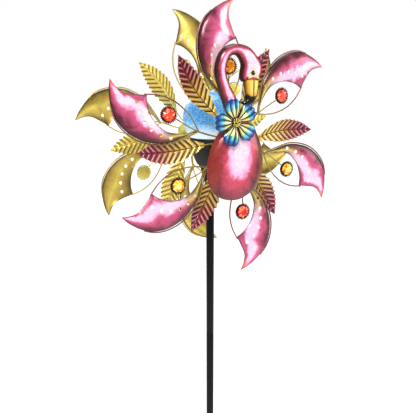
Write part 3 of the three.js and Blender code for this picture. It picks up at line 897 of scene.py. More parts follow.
def glass_finish(scene):
    """Blue crackled glass: fine pale cracks over cloudy blue, paler towards the cup."""
    paint = scene.spinner_lamp
    glass, frost = tuple3(paint.glass), tuple3(paint.frost)
    look = Finish("crackle_glass", Roughness=0.12, IOR=1.45, Coat_Weight=0.7, Coat_Roughness=0.05)
    cracks = look.step(look.cells(150, "DISTANCE_TO_EDGE"), 0.09, 0.0)
    fine = look.step(look.cells(330, "DISTANCE_TO_EDGE"), 0.1, 0.0)
    cloud = look.noise(30, 5.0, 1.6)
    tone = look.ramp(cloud, [
        (0.3, shade(glass, 0.7)), (0.48, glass), (0.62, shade(glass, 1.3)), (0.8, frost)])
    tone = look.mix(look.math("MULTIPLY", cracks, 0.7), tone, frost)
    tone = look.mix(look.math("MULTIPLY", fine, 0.4), tone, frost)
    height = look.node("ShaderNodeSeparateXYZ", {0: look.place}).outputs[2]
    low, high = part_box("lamp_globe")
    glow = look.step(height, low.z + 0.42 * (high.z - low.z), low.z)
    tone = look.mix(look.math("MULTIPLY", glow, 0.85), tone, (0.86, 0.95, 1.0))
    look.colour(tone)
    look.tree.links.new(tone, look.shader.inputs["Emission Color"])
    look.shader.inputs["Emission Strength"].default_value = 0.3
    look.bump(look.math("ADD", cracks, look.math("MULTIPLY", fine, 0.6)), 0.0006, 0.45)
    return look.material


def flamingo_finish(name, scene, flank):
    """Airbrushed flamingo: rose flank, with a painted highlight in the pale middle and painted shade in wine
    at the edge; `flank` warms one side to coral.
    """
    paint = scene.spinner_figure
    feather, rose, wine = tuple3(paint.feather), tuple3(paint.rose), tuple3(paint.wine)
    look = Finish(name, Metallic=0.2, Roughness=0.34, Coat_Weight=0.35, Coat_Roughness=0.12)
    # depth is low at the edge, where the ramp paints shade, and high at the pale middle, where it paints a
    # highlight
    across, depth = look.marks()
    drift = look.math("MULTIPLY_ADD", look.noise(70, 7.0, 0.6), 0.36, -0.18)
    tone = look.ramp(look.math("ADD", depth, drift), [
        (0.08, shade(wine, 0.25)), (0.26, wine), (0.45, shade(rose, 0.7)), (0.6, shade(rose, 1.1)),
        (0.74, feather), (0.9, tuple(0.5 + 0.5 * v for v in feather))])
    if flank:
        edge = look.math("MULTIPLY", look.step(look.math("ADD", across, drift), 0.74, 0.94), 0.85)
        tone = look.mix(edge, tone, linear(138, 78, 38))
        left = look.math("MULTIPLY", look.step(look.math("ADD", across, drift), 0.26, 0.08), 0.75)
        tone = look.mix(left, tone, linear(170, 58, 46))
    look.colour(look.wear(tone, 0.3, 190))
    look.rough(look.noise(150), 0.2, 0.36)
    look.bump(look.noise(380, 4.0), 0.0003, 0.4)
    return look.material


def bill_finish(scene):
    """Yellow bill with darker grooves, painted shade towards its edges and a painted highlight in its middle.
    """
    beak = tuple3(scene.spinner_figure.beak)
    look = Finish("bill_paint", Metallic=0.2, Roughness=0.28, Coat_Weight=0.6, Coat_Roughness=0.1)
    across, depth = look.marks()
    line = look.step(look.math("ABSOLUTE", look.math("SUBTRACT", across, 0.55)), 0.0, 0.09)
    tone = look.ramp(depth, [
        (0.0, linear(120, 60, 12)), (0.3, shade(beak, 0.8)), (0.7, beak), (1.0, linear(255, 226, 120))])
    look.colour(look.wear(look.mix(line, linear(110, 66, 20), tone), 0.15, 220))
    look.bump(look.noise(400), 0.0002, 0.3)
    return look.material


def petal_finish(scene):
    """Enamel petals: green-gold inside, sky blue and then deep blue at the ends, with painted shade between
    the ridges and at the petal sides and a painted highlight along the ridge tops.
    """
    paint = scene.spinner_figure
    look = Finish("flower_paint", Metallic=0.35, Roughness=0.22, Coat_Weight=0.8, Coat_Roughness=0.06)
    along, ridge = look.marks()
    drift = look.math("MULTIPLY_ADD", look.noise(90), 0.16, -0.08)
    crest = look.ramp(look.math("ADD", along, drift), [
        (0.14, linear(120, 90, 26)), (0.3, linear(206, 184, 60)), (0.5, tuple3(paint.leaf_green)),
        (0.6, linear(40, 150, 140)), (0.72, tuple3(paint.sky)), (0.84, tuple3(paint.petal)),
        (1.0, shade(tuple3(paint.petal), 0.45))])
    # painted shade between the ridges and at the petal sides
    deep = look.ramp(along, [(0.2, (0.02, 0.014, 0.002)), (0.5, linear(6, 56, 48)), (0.8, linear(2, 40, 92))])
    tone = look.mix(look.step(ridge, 0.25, 0.72), deep, crest)
    # painted highlight along the ridge tops
    shine = look.math("MULTIPLY", look.step(ridge, 0.8, 0.97), look.step(along, 0.9, 0.5))
    look.colour(look.mix(look.math("MULTIPLY", shine, 0.75), tone, (0.92, 0.98, 0.9)))
    look.bump(look.noise(500), 0.0002, 0.25)
    return look.material


def cell_finish():
    """Dark solar cell with its pale printed lines."""
    look = Finish("solar_silicon", Roughness=0.18, Coat_Weight=0.8, Coat_Roughness=0.05)
    split = look.node("ShaderNodeSeparateXYZ", {0: look.place})
    lines = look.math("PINGPONG", split.outputs[0], 0.0025)
    tone = look.ramp(look.noise(80), [(0.3, linear(14, 22, 48)), (0.7, linear(30, 44, 92))])
    look.colour(look.mix(look.step(lines, 0.0003, 0.0001), tone, linear(170, 176, 190)))
    return look.material


class Palette:
    """Every finish, made once and kept by name."""

    made = {}

    @classmethod
    def get(cls, name):
        scene = bpy.context.scene
        makers = {
            "gold": lambda: gold_finish(scene),
            "blade": lambda: blade_finish(scene),
            "wire": lambda: wire_finish(scene),
            "leaf": lambda: leaf_finish(scene),
            "leaf_back": lambda: leaf_back_finish(scene),
            "bezel": lambda: bezel_finish(scene),
            "red": lambda: stone_finish(
                "red_stone", tuple3(scene.spinner_jewels.red), tuple3(scene.spinner_jewels.red_light)),
            "amber": lambda: stone_finish(
                "amber_stone", tuple3(scene.spinner_jewels.amber), tuple3(scene.spinner_jewels.amber_light)),
            "coat": lambda: coat_finish(scene),
            "steel": lambda: steel_finish(scene),
            "glass": lambda: glass_finish(scene),
            "cup": lambda: moulded_finish("lamp_plastic", tuple3(scene.spinner_lamp.cup)),
            "nylon": lambda: moulded_finish("white_nylon", linear(226, 222, 208), 0.5),
            "board": lambda: moulded_finish("board_green", linear(24, 92, 50), 0.5),
            "sleeve": lambda: moulded_finish("battery_sleeve", linear(58, 128, 74), 0.35),
            "diode": lambda: moulded_finish("diode_lens", linear(235, 240, 245), 0.2),
            "cell": cell_finish,
            "body": lambda: flamingo_finish("body_paint", scene, True),
            "neck": lambda: flamingo_finish("neck_paint", scene, False),
            "bill": lambda: bill_finish(scene),
            "black": lambda: moulded_finish("black_enamel", linear(16, 16, 20), 0.2),
            "cream": lambda: moulded_finish("cream_enamel", tuple3(scene.spinner_figure.cream), 0.3),
            "petal": lambda: petal_finish(scene),
        }
        if name not in cls.made:
            cls.made[name] = makers[name]()
        return cls.made[name]

    @classmethod
    def several(cls, *names):
        return [cls.get(name) for name in names]


# ---- placing pieces in the wheels ----
def turn_of(wheel, index, leaf=False):
    """Degrees round the wheel to a blade, or to the leaf after it."""
    even = WHEEL_PHASE[wheel] + BLADE_SPACING * (index - 1)
    return even + (LEAF_TURN if leaf else BLADE_BENDS[wheel][index - 1])


def into_wheel(wheel, turn, back=0.0, lean=0.0):
    """A change of points drawn flat (x outwards, y anticlockwise, z towards the viewer) into a wheel."""
    angle = math.radians(turn)
    facing = 1 if wheel == "front" else -1

    def change(points):
        x, y, z = points.T
        behind = back - z + x * BLADE_CONE - math.tan(math.radians(lean)) * np.maximum(0, x - HUB_RADIUS)
        across = x * math.cos(angle) - y * math.sin(angle)
        up = x * math.sin(angle) + y * math.cos(angle)
        return np.column_stack([facing * across, facing * (behind - WHEEL_OFFSET), up])
    return change


# ---- blades ----
def crescent_outline():
    """The crescent's outer edge, the hook of its tip and its inner edge, each in even steps."""
    outside = evenly(spline(CRESCENT_OUTSIDE, 160), CRESCENT_EDGE)
    hook = evenly(spline(CRESCENT_HOOK, 80), CRESCENT_EDGE)
    inner = evenly(spline(CRESCENT_INSIDE, 100), CRESCENT_EDGE)
    return outside, hook, inner


def punched(centre, radius):
    """The outline of a round hole."""
    angles = np.linspace(0, 2 * math.pi, HOLE_SIDES, endpoint=False)
    return np.column_stack([centre[0] + radius * np.cos(angles), centre[1] + radius * np.sin(angles)])


def crescent(paint):
    """The pressed crescent, crowned between its edges, with its row of punched holes."""
    outside, hook, inner = crescent_outline()
    outline = np.vstack([outside, hook[1:], inner[1:]])
    edge = np.vstack([hook, inner[1:]])
    sheet = paint.sheet / MM

    def across_of(flat):
        out_gap, along = distance_to(flat, outside)
        in_gap, _ = distance_to(flat, edge)
        width = out_gap + in_gap + 1e-6
        return out_gap / width, along, width

    def rise(flat):
        across, _, width = across_of(flat)
        crown = np.sin(math.pi * np.clip(across, 0, 1) ** 0.8) ** 0.75
        return sheet / 2 + paint.crown * np.minimum(width, CROWN_WIDTH) * crown

    def mark(flat):
        across, along, _ = across_of(flat)
        return np.column_stack([along, across])

    holes = [punched(centre, paint.hole / MM) for centre in PERFORATIONS]
    return pressed(outline, rise, sheet, CRESCENT_MESH, holes, (0, 1), mark)


def raised(points, height=0.0):
    """Flat points lifted to one height."""
    return [(x, y, height) for x, y in points]


def rim_line():
    """The rim wire's line, just outside the crescent's outer edge and merging with it at both ends."""
    outside = spline(CRESCENT_OUTSIDE, 24)[:19]
    line = []
    for i, (x, y) in enumerate(outside):
        before = outside[max(0, i - 1)]
        after = outside[min(len(outside) - 1, i + 1)]
        along = (after - before) / np.linalg.norm(after - before)
        away = 0.4 + 2.0 * math.sin(math.pi * i / (len(outside) - 1)) ** 0.6
        line.append((x - along[1] * away, y + along[0] * away, 0.6))
    return line[::2]


def wheel_wires(lines, radius, slot):
    """Wires of a wheel, marked with their reach outwards and with which side faces the viewer."""
    shape = wires(lines, radius, Palette.get("wire"), slot)
    reach = shape.points[:, 0] / CRESCENT_OUTSIDE[-1][0]
    shape.marks = np.column_stack([reach, 0.5 + shape.points[:, 2] / radius / 2])
    return shape


def blade_shape(paint):
    """The crescent with its loop, spoke and rim wires."""
    lines = [raised(LOOP), raised(SPOKE), rim_line()]
    return crescent(paint).join(wheel_wires(lines, paint.wire / MM, 2))


# ---- jewels ----
def stone_shape(radius, seed):
    """A faceted stone: an even-sided table, a crown of kites and a girdle, each facet its own tone."""
    random = np.random.RandomState(seed)
    rings = ((0.42, 5.0, 0.0), (0.76, 3.9, 0.5), (0.98, 1.7, 0.0), (0.98, -0.4, 0.0))
    points, faces = [], []
    n = STONE_SIDES
    for share, height, half in rings:
        angles = 2 * math.pi * (np.arange(n) + half) / n
        points += [(radius * share * math.cos(a), radius * share * math.sin(a), height) for a in angles]
    faces.append(tuple(range(n)))
    for i in range(n):
        j = (i + 1) % n
        faces += [(i, n + i, j), (i, 2 * n + i, n + i), (n + i, 2 * n + j, j), (n + i, 2 * n + i, 2 * n + j)]
        faces.append((2 * n + i, 3 * n + i, 3 * n + j, 2 * n + j))
    faces.append(tuple(3 * n + i for i in reversed(range(n))))
    shape = Shape()
    for face in faces:
        # a random brightness for each facet, standing for the light it reflects (painted reflection)
        tone = random.uniform(0.05, 1.0)
        corners = [points[k] for k in face]
        marks = [(tone + random.uniform(-0.12, 0.12), tone) for _ in face]
        shape.add(corners, [tuple(range(len(face)))], 0, marks)
    return shape


def jewel_shape(paint, seed):
    """Stone, bezel wall, ring of teeth, plain back disc and the stem that carries them."""
    radius, stone = paint.radius / MM, paint.stone / MM
    shape = stone_shape(stone, seed)
    wall = lathe(soften([
        (0, -2.4), (radius - 4, -2.4), (radius - 3, -1.2), (radius - 3, 0.4), (stone + 0.7, 1.9),
        (stone + 0.1, 2.1), (stone - 0.4, 0.6), (0, 0.6),
    ], 0.4), 56, 1)
    back = lathe(soften([(0, -3.2), (radius - 3, -3.2), (radius - 2.4, -2.2), (0, -2.2)], 0.3), 48, 2)
    teeth = grown(
        "crown", Palette.get("bezel"), [(0, 0, 0)], Count=paint.teeth, Radius=(radius - 2.5) * MM,
        Tooth=Vector((2.5, 0.85, 1.3)) * MM)
    teeth.slots = [1] * len(teeth.faces)
    shape.join(wall).join(back).join(teeth)
    setting = shape.moved(lambda p: p + np.array([*JEWEL_CENTRE, 0]))
    return setting.join(wheel_wires([raised(JEWEL_STEM)], JEWEL_STEM_RADIUS, 3))


# ---- leaves ----
def leaf_shape(paint):
    """A pressed leaf, folded back along its midrib, with slanting ribs that end in teeth."""
    rows, columns = 150, 26
    along = np.linspace(0, 1, rows + 1)
    reach = LEAF_TIP - LEAF_ROOT
    high = np.array([np.interp(along, *spline(LEAF_BULGE, 40).T)])[0] * LEAF_HALF_WIDTH
    low = np.array([np.interp(along, *spline(LEAF_HOLLOW, 40).T)])[0] * LEAF_HALF_WIDTH
    midrib = (high + low) / 2
    relief = paint.relief / MM
    points, marks = [], []
    for a, top, bottom, mid in zip(along, high, low, midrib):
        for k in range(-columns, columns + 1):
            c = k / columns
            half = (top - mid) if c > 0 else (mid - bottom)
            slant = abs(c) * half * 0.85 / reach
            phase = ((a - slant) * (paint.ribs + 1)) % 1
            ridge = 1 - abs(2 * phase - 1) if 0.02 < a < 0.98 else 0.5
            fade = min(1.0, abs(c) * 5) * min(1.0, a * 8, (1 - a) * 10)
            tooth = 1 + 0.16 * (ridge - 0.5) * fade * abs(c) ** 4
            spine = math.exp(-(c * half / 1.1) ** 2) * min(1, (1 - a) * 6)
            fold = -LEAF_FOLD * (1 - (abs(c) if c > 0 else 0.25 * abs(c))) * half
            height = relief * (ridge - 0.5) * fade + spine + fold
            x = LEAF_ROOT + a * reach + relief * 0.4 * (ridge - 0.5) * fade
            points.append((x, mid + c * half * tooth, height))
            # the second mark is high on the rib crests, where the finish paints a highlight, and low between
            # the ribs and along the midrib, where it paints shade
            marks.append((a, (ridge * fade + (1 - fade) * 0.5) * (1 - 0.6 * spine)))
    stem = [(STEM_START, 0, 0), (40, 0.2, 0), (LEAF_ROOT + 8, 0.6, -0.4)]
    return slab(points, marks, rows, LEAF_SHEET, (0, 1)).join(wheel_wires([stem], LEAF_STEM_RADIUS, 2))


# ---- flamingo ----
def body_shape():
    """The egg-shaped dish of the body, with a rolled rim and an open back."""
    rings, sides = 26, 96
    wall = 1.4
    points, marks, faces = [], [], []
    for layer, (spread, depth) in enumerate(((1.0, BODY_DEPTH), (0.965, BODY_DEPTH - wall))):
        for i in range(rings + 1):
            angle = math.pi / 2 * i / rings
            radius = spread * max(0.0, math.cos(angle)) ** 0.92
            forward = depth * math.sin(angle) ** 0.9
            for j in range(sides):
                turn = 2 * math.pi * j / sides
                x, z = radius * math.cos(turn), radius * math.sin(turn)
                points.append((
                    BODY_CENTRE[0] + 4 * z + BODY_HALF[0] * x * (1 - 0.18 * z), FIGURE_FACE + forward,
                    BODY_CENTRE[1] + BODY_HALF[1] * z))
                # the second mark peaks at a painted highlight a little above the middle and falls to painted
                # shade at the rim
                lit = math.hypot(1.08 * (x + 0.02), 0.72 * (z - 0.2))
                marks.append((0.5 + 0.5 * x, max(0.0, 1.12 - lit)))
        start = layer * (rings + 1) * sides
        for i in range(rings):
            for j in range(sides):
                k = (j + 1) % sides
                faces.append((start + i * sides + j, start + i * sides + k,
                              start + (i + 1) * sides + k, start + (i + 1) * sides + j))
    inner = (rings + 1) * sides
    faces += [(j, (j + 1) % sides, inner + (j + 1) % sides, inner + j) for j in range(sides)]
    points = np.array(points)
    points[:, 1] *= -1
    slots = [0] * (rings * sides) + [1] * (rings * sides) + [1] * sides
    return Shape().add(points, faces, slots, marks)


def pillow(control, height, edge, base=0.0, spacing=1.7, slots=(0, 1)):
    """A puffed pressing inside a smooth outline: round near its edge, flat past `edge` from it."""
    outline = evenly(closed_spline(control, 240), spacing * 0.8, closed=True)
    closed = np.vstack([outline, outline[:1]])
    low, high = outline.min(0), outline.max(0)

    def depth(flat):
        gap, _ = distance_to(flat, closed)
        return np.clip(gap / edge, 0, 1)

    def rise(flat):
        return base + PILLOW_SHEET + height * np.sqrt(np.clip(1 - (1 - depth(flat)) ** 2, 0, 1))

    def mark(flat):
        across = (flat[:, 0] - low[0]) / (high[0] - low[0])
        return np.column_stack([across, depth(flat)])
    shape = pressed(outline, rise, PILLOW_SHEET, spacing, (), slots, mark)
    back = shape.points[:, 2] < rise(shape.points[:, :2]) - PILLOW_SHEET / 2
    shape.points[back, 2] = base
    return shape


def on_figure(points):
    """Drawn flat with x right, y up and z forward, into the plane of the flamingo."""
    return np.column_stack([points[:, 0], -FIGURE_FACE - points[:, 2], points[:, 1]])


def dome(centre, radius, height, base, slot):
    """A small round stud standing on a surface."""
    arc = [(radius * math.cos(a), base + height * math.sin(a)) for a in np.linspace(0, math.pi / 2, 10)]
    stud = lathe([(0, base - 1), (radius, base - 1)] + arc, 32, slot)
    return stud.moved(lambda p: p + np.array([*centre, 0]))


def petal_shape():
    """One petal along +X with three rounded ridges and a scalloped end; marks are (along, ridge)."""
    rows, columns = 44, 36
    points, marks = [], []
    for i in range(rows + 1):
        a = i / rows
        half = 2.2 + 12.4 * math.sin(0.5 * math.pi * min(1.0, a / 0.74)) ** 1.3 * (1 - max(0, a - 0.8) * 0.6)
        for j in range(-columns, columns + 1):
            c = j / columns
            ridge = abs(math.cos(1.5 * math.pi * c)) ** 0.8
            x = 4 + 32 * a * (1 + 0.09 * ridge * a ** 3 - 0.16 * c ** 4 * a ** 3)
            lift = 2.6 * ridge * math.sin(math.pi * min(1, a * 1.05)) ** 0.6
            bowl = 4.2 * a ** 1.6 + 2.4 * (1 - c * c) * math.sin(math.pi * a)
            points.append((x, half * c, lift * (1 - 0.25 * a) + bowl))
            # the second mark is high on the ridges and low between them and at the sides, where the finish
            # paints highlight and shade
            marks.append((a, ridge * (1 - abs(c) ** 6)))
    return slab(points, marks, rows, PETAL_SHEET, (0, 0))


# ---- operators: one for each piece or group of like pieces ----
class SPINNER_OT_blades(bpy.types.Operator):
    """Press, punch and paint the twelve crescent blades with their wires"""

    bl_idname = "spinner.blades"
    bl_label = "Crescent Blades"

    def execute(self, context):
        blade = blade_shape(context.scene.spinner_blades)
        looks = Palette.several("blade", "gold", "wire")
        for wheel in WHEELS:
            for index in BLADES:
                change = into_wheel(wheel, turn_of(wheel, index), 0, BLADE_LEANS[wheel][index - 1])
                make_piece(f"{wheel}_crescent_{index}", blade.moved(change), looks, f"{wheel}_wheel",
                           [f"{wheel}_blade_{index}"])
        return {"FINISHED"}


class SPINNER_OT_jewels(bpy.types.Operator):
    """Cut the twelve stones and set them in toothed bezels on their stems"""

    bl_idname = "spinner.jewels"
    bl_label = "Jewels"

    def execute(self, context):
        for wheel in WHEELS:
            for index in BLADES:
                tone = "red" if index % 2 else "amber"
                jewel = jewel_shape(context.scene.spinner_jewels, index)
                change = into_wheel(wheel, turn_of(wheel, index), -WIRE_STEP, BLADE_LEANS[wheel][index - 1])
                looks = Palette.several(tone, "bezel", "gold", "wire")
                make_piece(f"{wheel}_stone_{index}", jewel.moved(change), looks, f"{wheel}_wheel",
                           [f"{wheel}_jewel_{index}"], crease=14)
        return {"FINISHED"}


class SPINNER_OT_leaves(bpy.types.Operator):
    """Press and paint the twelve ribbed leaves"""

    bl_idname = "spinner.leaves"
    bl_label = "Leaves"

    def execute(self, context):
        leaf = leaf_shape(context.scene.spinner_leaves)
        looks = Palette.several("leaf", "leaf_back", "wire")
        for wheel in WHEELS:
            for index in BLADES:
                change = into_wheel(wheel, turn_of(wheel, index, leaf=True), WIRE_STEP)
                make_piece(f"{wheel}_frond_{index}", leaf.moved(change), looks, f"{wheel}_wheel",
                           [f"{wheel}_leaf_{index}"], crease=60)
        return {"FINISHED"}


class SPINNER_OT_hubs(bpy.types.Operator):
    """Turn the two hubs, each with a ring of beads, and their nylon bushes"""

    bl_idname = "spinner.hubs"
    bl_label = "Hubs and Bushes"

    def execute(self, context):
        hub = lathe(soften([
            (6.3, -10), (11, -10), (11, -6.5), (HUB_RADIUS, -6.5), (HUB_RADIUS, 6.5), (19, 6.5), (17.5, 5.2),
            (13, 5.2), (11, 6.5), (11, 10), (6.3, 10), (6.3, -10),
        ], 0.9), 72)
        beads = grown("crown", Palette.get("gold"), [(0, 0, 0)], Count=HUB_BEADS, Radius=HUB_BEAD_CIRCLE * MM,
                      Tooth=Vector((1.5, 1.5, 1.2)) * MM)
        hub.join(beads.moved(lambda p: p + (0, 0, 6.4)))
        bush = lathe(soften([(4.3, -10), (6, -10), (6, 10), (4.3, 10), (4.3, -10)], 0.3), 40)
        for wheel in WHEELS:
            facing = 1 if wheel == "front" else -1
            shift = np.array([0, -facing * WHEEL_OFFSET, 0])
            for name, part, look, slot in (
                    ("hub", hub, "gold", "blade_paint"), ("bush", bush, "nylon", "nylon")):
                placed = part.moved(lambda p: forwards(p) * (facing, facing, 1) + shift)
                make_piece(f"{wheel}_{name}_turned", placed, Palette.several(look), f"{wheel}_wheel",
                           [f"{wheel}_{name}"])
        return {"FINISHED"}


class SPINNER_OT_axles(bpy.types.Operator):
    """Turn the axles and cut their nuts"""

    bl_idname = "spinner.axles"
    bl_label = "Axles and Nuts"

    def execute(self, context):
        thread = [(3.0 if i % 2 else 2.6, 100.3 + 0.4 * i) for i in range(22)]
        axle = lathe([
            (0, 57.2), (6.1, 57.2), (6.5, 57.6), (6.5, 58.8), (6.2, 59.2), (4, 59.2), (4, 62.8), (7.1, 62.8),
            (7.5, 63.2), (7.5, 68.4), (7, 69.2), (4, 72.8), (4, 99.6), (3.6, 100),
        ] + thread + [(2.2, 109.5), (0, 109.5)], 40)
        plain = lathe([
            (3.3, 103.2), (3.9, 102.9), (5.1, 102.9), (5.8, 103.5), (5.8, 107.3), (5.1, 107.9), (3.9, 107.9),
            (3.3, 107.4), (3.3, 103.2)], NUT_SIDES)
        domed = lathe([
            (3.3, 100.6), (3.9, 100.3), (5.1, 100.3), (5.8, 100.9), (5.8, 109.7), (5.1, 110.3),
            (3.3, 110.3), (3.3, 100.6)], NUT_SIDES)
        cap = lathe([(0, 110)] + [
            (5 * math.cos(a), 110.2 + 4.6 * math.sin(a)) for a in np.linspace(0, math.pi / 2, 12)], 36)
        domed.join(cap)
        backwards = np.array([-1, -1, 1])
        steel = Palette.several("steel")
        for name, part, nodes, rear in (
                ("front_axle_turned", axle, ["front_axle"], False),
                ("rear_axle_turned", axle, ["rear_axle"], True),
                ("front_hex_nut", plain, ["front_nut"], False),
                ("rear_dome_nut", domed, ["rear_nut"], True)):
            placed = part.moved(lambda p: forwards(p) * (backwards if rear else 1))
            make_piece(name, placed, steel, "head", nodes, crease=30)
        return {"FINISHED"}


class SPINNER_OT_stake(bpy.types.Operator):
    """Build the ground fork, the three pole tubes and the swivel spindle"""

    bl_idname = "spinner.stake"
    bl_label = "Stake"

    def execute(self, context):
        coat = Palette.several("coat")
        ground = Matrix()
        for name in ("pole_lower", "pole_middle", "pole_upper"):
            low, high = (corner.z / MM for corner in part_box(name))
            tube = [(6.3, low), (7.5, low)]
            if name == "pole_upper":
                tube += [(7.5, high), (6.3, high), (6.3, low)]
            else:
                shoulder = high - 30
                tube += [(7.5, shoulder - 1.2), (6.9, shoulder), (6, shoulder), (6, high), (4.8, high)]
                tube += [(4.8, shoulder - 4), (6.3, shoulder - 8), (6.3, low)]
            make_piece(f"{name}_tube", lathe(soften(tube, 0.35), 48), coat, "stake",
                       [name], ground)
        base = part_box("swivel_spindle")[0].z / MM
        spindle = lathe(soften([
            (0, base), (6, base), (6, base + 40), (7.5, base + 40), (7.5, base + 42), (5, base + 42),
            (5, base + 74), (0, base + 75)], 0.4), 40)
        make_piece("spindle_turned", spindle, Palette.several("steel"), "stake",
                   ["swivel_spindle"], ground)
        self.fork(coat, ground)
        return {"FINISHED"}

    def fork(self, coat, ground):
        low, high = (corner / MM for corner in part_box("ground_fork"))
        reach, half, thick = high.x, 12, 4
        outline = [
            (10.5, -half), (half, -half), (reach - 6, -half), (reach, -half + 6), (reach, half - 6),
            (reach - 6, half), (half, half), (10.5, half)]
        arm = pressed(evenly(np.array(outline, float), 3, closed=True),
                      lambda flat: np.full(len(flat), float(thick)), thick, 6)
        prong = lathe(soften([
            (0, low.z), (1.1, low.z + 4), (3, low.z + 16), (3, 1), (3.9, -0.2), (3.9, -1.4), (3, -2.4),
            (3, 5.2), (2.2, 6.2), (0, 6.4)], 0.4), 20)
        arm.join(prong.moved(lambda p: p + (50, 0, 0)))
        gusset = pressed(
            np.array([(10, 4), (34, 4), (34, 6), (12, 36), (10, 36)], float),
            lambda flat: np.full(len(flat), 1.2), 2.4, 6).moved(lambda p: p[:, [0, 2, 1]])
        arm.join(gusset)
        arms = grown("whorl", coat[0], arm.points, (), arm.faces, Count=4)
        socket = lathe(soften([
            (7.8, 4.2), (10.5, 4.2), (10.5, 42), (9.6, 44), (7.8, 44), (7.8, 4.2)], 0.5), 48)
        boss = lathe(soften([(0, 0), (13.5, 0), (13.5, 6), (11, 8), (0, 4.1)], 0.5), 48)
        make_piece("fork_with_prongs", arms.join(socket).join(boss), coat, "stake",
                   ["ground_fork"], ground, crease=35)


class SPINNER_OT_bracket(bpy.types.Operator):
    """Bend the strips that carry the axles, and the strap that carries the flamingo"""

    bl_idname = "spinner.bracket"
    bl_label = "Brackets"

    def execute(self, context):
        coat = Palette.several("coat")
        bracket = lathe(soften([
            (5.3, -95), (8.8, -95), (8.8, -91), (9.6, -90), (12, -81), (18.5, -56.3), (0, -56.3), (0, -60),
            (5.3, -60), (5.3, -95)], 0.6), 56)
        arm_line = ((4, -76), (16.2, -68.4), (32, -45.1), (42, -21.9), (61, -8.2), (61, 12))
        for side in (1, -1):
            bracket.join(self.strip(arm_line, 3, 16).moved(lambda p: p * (1, side, 1)))
        make_piece("axle_bracket", bracket, coat, "head", ["head_bracket"], crease=35)
        low, high = (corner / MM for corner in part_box("figure_bracket"))
        depth = (low.y + high.y) / 2
        strap_line = ((depth, low.z - HUB_HEIGHT + 3), (depth, 0), (depth, high.z - HUB_HEIGHT - 3))
        strap = self.strip(strap_line, 2.3, 14)
        make_piece("figure_strap", strap, coat, "head", ["figure_bracket"], crease=35)
        return {"FINISHED"}

    def strip(self, line, thickness, width):
        """A flat bar bent along a line of (y, z) points, its width along X, with softened edges."""
        line = evenly(np.array(line, float), 2.0)
        ahead = np.gradient(line, axis=0)
        ahead /= np.linalg.norm(ahead, axis=1)[:, None]
        side = np.column_stack([-ahead[:, 1], ahead[:, 0]])
        bevel, half, rim = 0.5, thickness / 2, width / 2
        ring = [(-rim + bevel, -half), (rim - bevel, -half), (rim, -half + bevel), (rim, half - bevel),
                (rim - bevel, half), (-rim + bevel, half), (-rim, half - bevel), (-rim, -half + bevel)]
        points = [(across, *(at + out * lift)) for at, out in zip(line, side) for across, lift in ring]
        faces = []
        wide = len(ring)
        for i in range(len(line) - 1):
            for j in range(wide):
                k = (j + 1) % wide
                faces.append((i * wide + j, i * wide + k, (i + 1) * wide + k, (i + 1) * wide + j))
        last = (len(line) - 1) * wide
        faces += [tuple(range(wide)), tuple(last + j for j in reversed(range(wide)))]
        return Shape().add(points, faces)


class SPINNER_OT_lamp(bpy.types.Operator):
    """Blow the crackle globe and build the cup, solar cell, board, battery and switch"""

    bl_idname = "spinner.lamp"
    bl_label = "Solar Lamp"

    def execute(self, context):
        centre, radius, wall = 32.6, 50, 2.4
        seat = -1.7 - centre
        outer = np.linspace(math.asin(seat / radius), math.pi / 2, 40)
        inner = np.linspace(math.pi / 2, math.asin(seat / (radius - wall)), 40)
        profile = [(radius * math.cos(a), centre + radius * math.sin(a)) for a in outer]
        profile += [((radius - wall) * math.cos(a), centre + (radius - wall) * math.sin(a)) for a in inner]
        make_piece("crackle_globe", lathe(profile + profile[:1], 96), Palette.several("glass"), "head",
                   ["lamp_globe"])
        cup = lathe(soften([
            (0, -56), (19, -56), (25, -50), (30, -39), (35, -24), (36.4, -9), (37, -8), (37, -2), (35.2, -2),
            (35, -8), (33, -24), (28, -38), (23, -48.6), (18, -54), (0, -54)], 1.4), 72)
        make_piece("cup_moulded", cup, Palette.several("cup"), "head", ["lamp_cup"])
        cell = lathe(soften([(3.4, -7), (31, -7), (31, -5), (3.4, -5), (3.4, -7)], 0.3), 64)
        make_piece("cell_disc", cell, Palette.several("cell"), "head", ["solar_cell"])
        board = lathe(soften([(0, -12), (30, -12), (30, -10.4), (0, -10.4)], 0.2), 64)
        diode = lathe([(0, -10.4), (2.5, -10.4), (2.5, 0)] + [
            (2.5 * math.cos(a), 0.1 + 2.4 * math.sin(a)) for a in np.linspace(0, math.pi / 2, 10)], 32, 1)
        make_piece("board_with_diode", board.join(diode), Palette.several("board", "diode"), "head",
                   ["circuit_board"])
        battery = lathe(soften([
            (0, -15), (4.4, -15), (5.1, -14.4), (5.1, 13.2), (4.4, 14), (2, 14), (2, 15), (0, 15)], 0.3), 40)
        lying = battery.moved(lambda p: np.column_stack([p[:, 2], p[:, 1], -42 + p[:, 0]]))
        make_piece("cell_battery", lying, Palette.several("sleeve"), "head", ["battery"])
        button = lathe(soften([
            (0, 27), (5.5, 27), (5.5, 28.4), (3.5, 28.4), (3.5, 36.4), (2.9, 37.4), (0, 37.2)], 0.4), 32)
        pressed_in = button.moved(lambda p: np.column_stack([p[:, 2], p[:, 1], -25 + p[:, 0]]))
        make_piece("push_button", pressed_in, Palette.several("cup"), "switch_button",
                   ["lamp_switch"])
        return {"FINISHED"}


class SPINNER_OT_body(bpy.types.Operator):
    """Press and paint the flamingo's body"""

    bl_idname = "spinner.body"
    bl_label = "Flamingo Body"

    def execute(self, context):
        make_piece("painted_body", body_shape(), Palette.several("body", "gold"), "head",
                   ["flamingo_body"], crease=60)
        return {"FINISHED"}


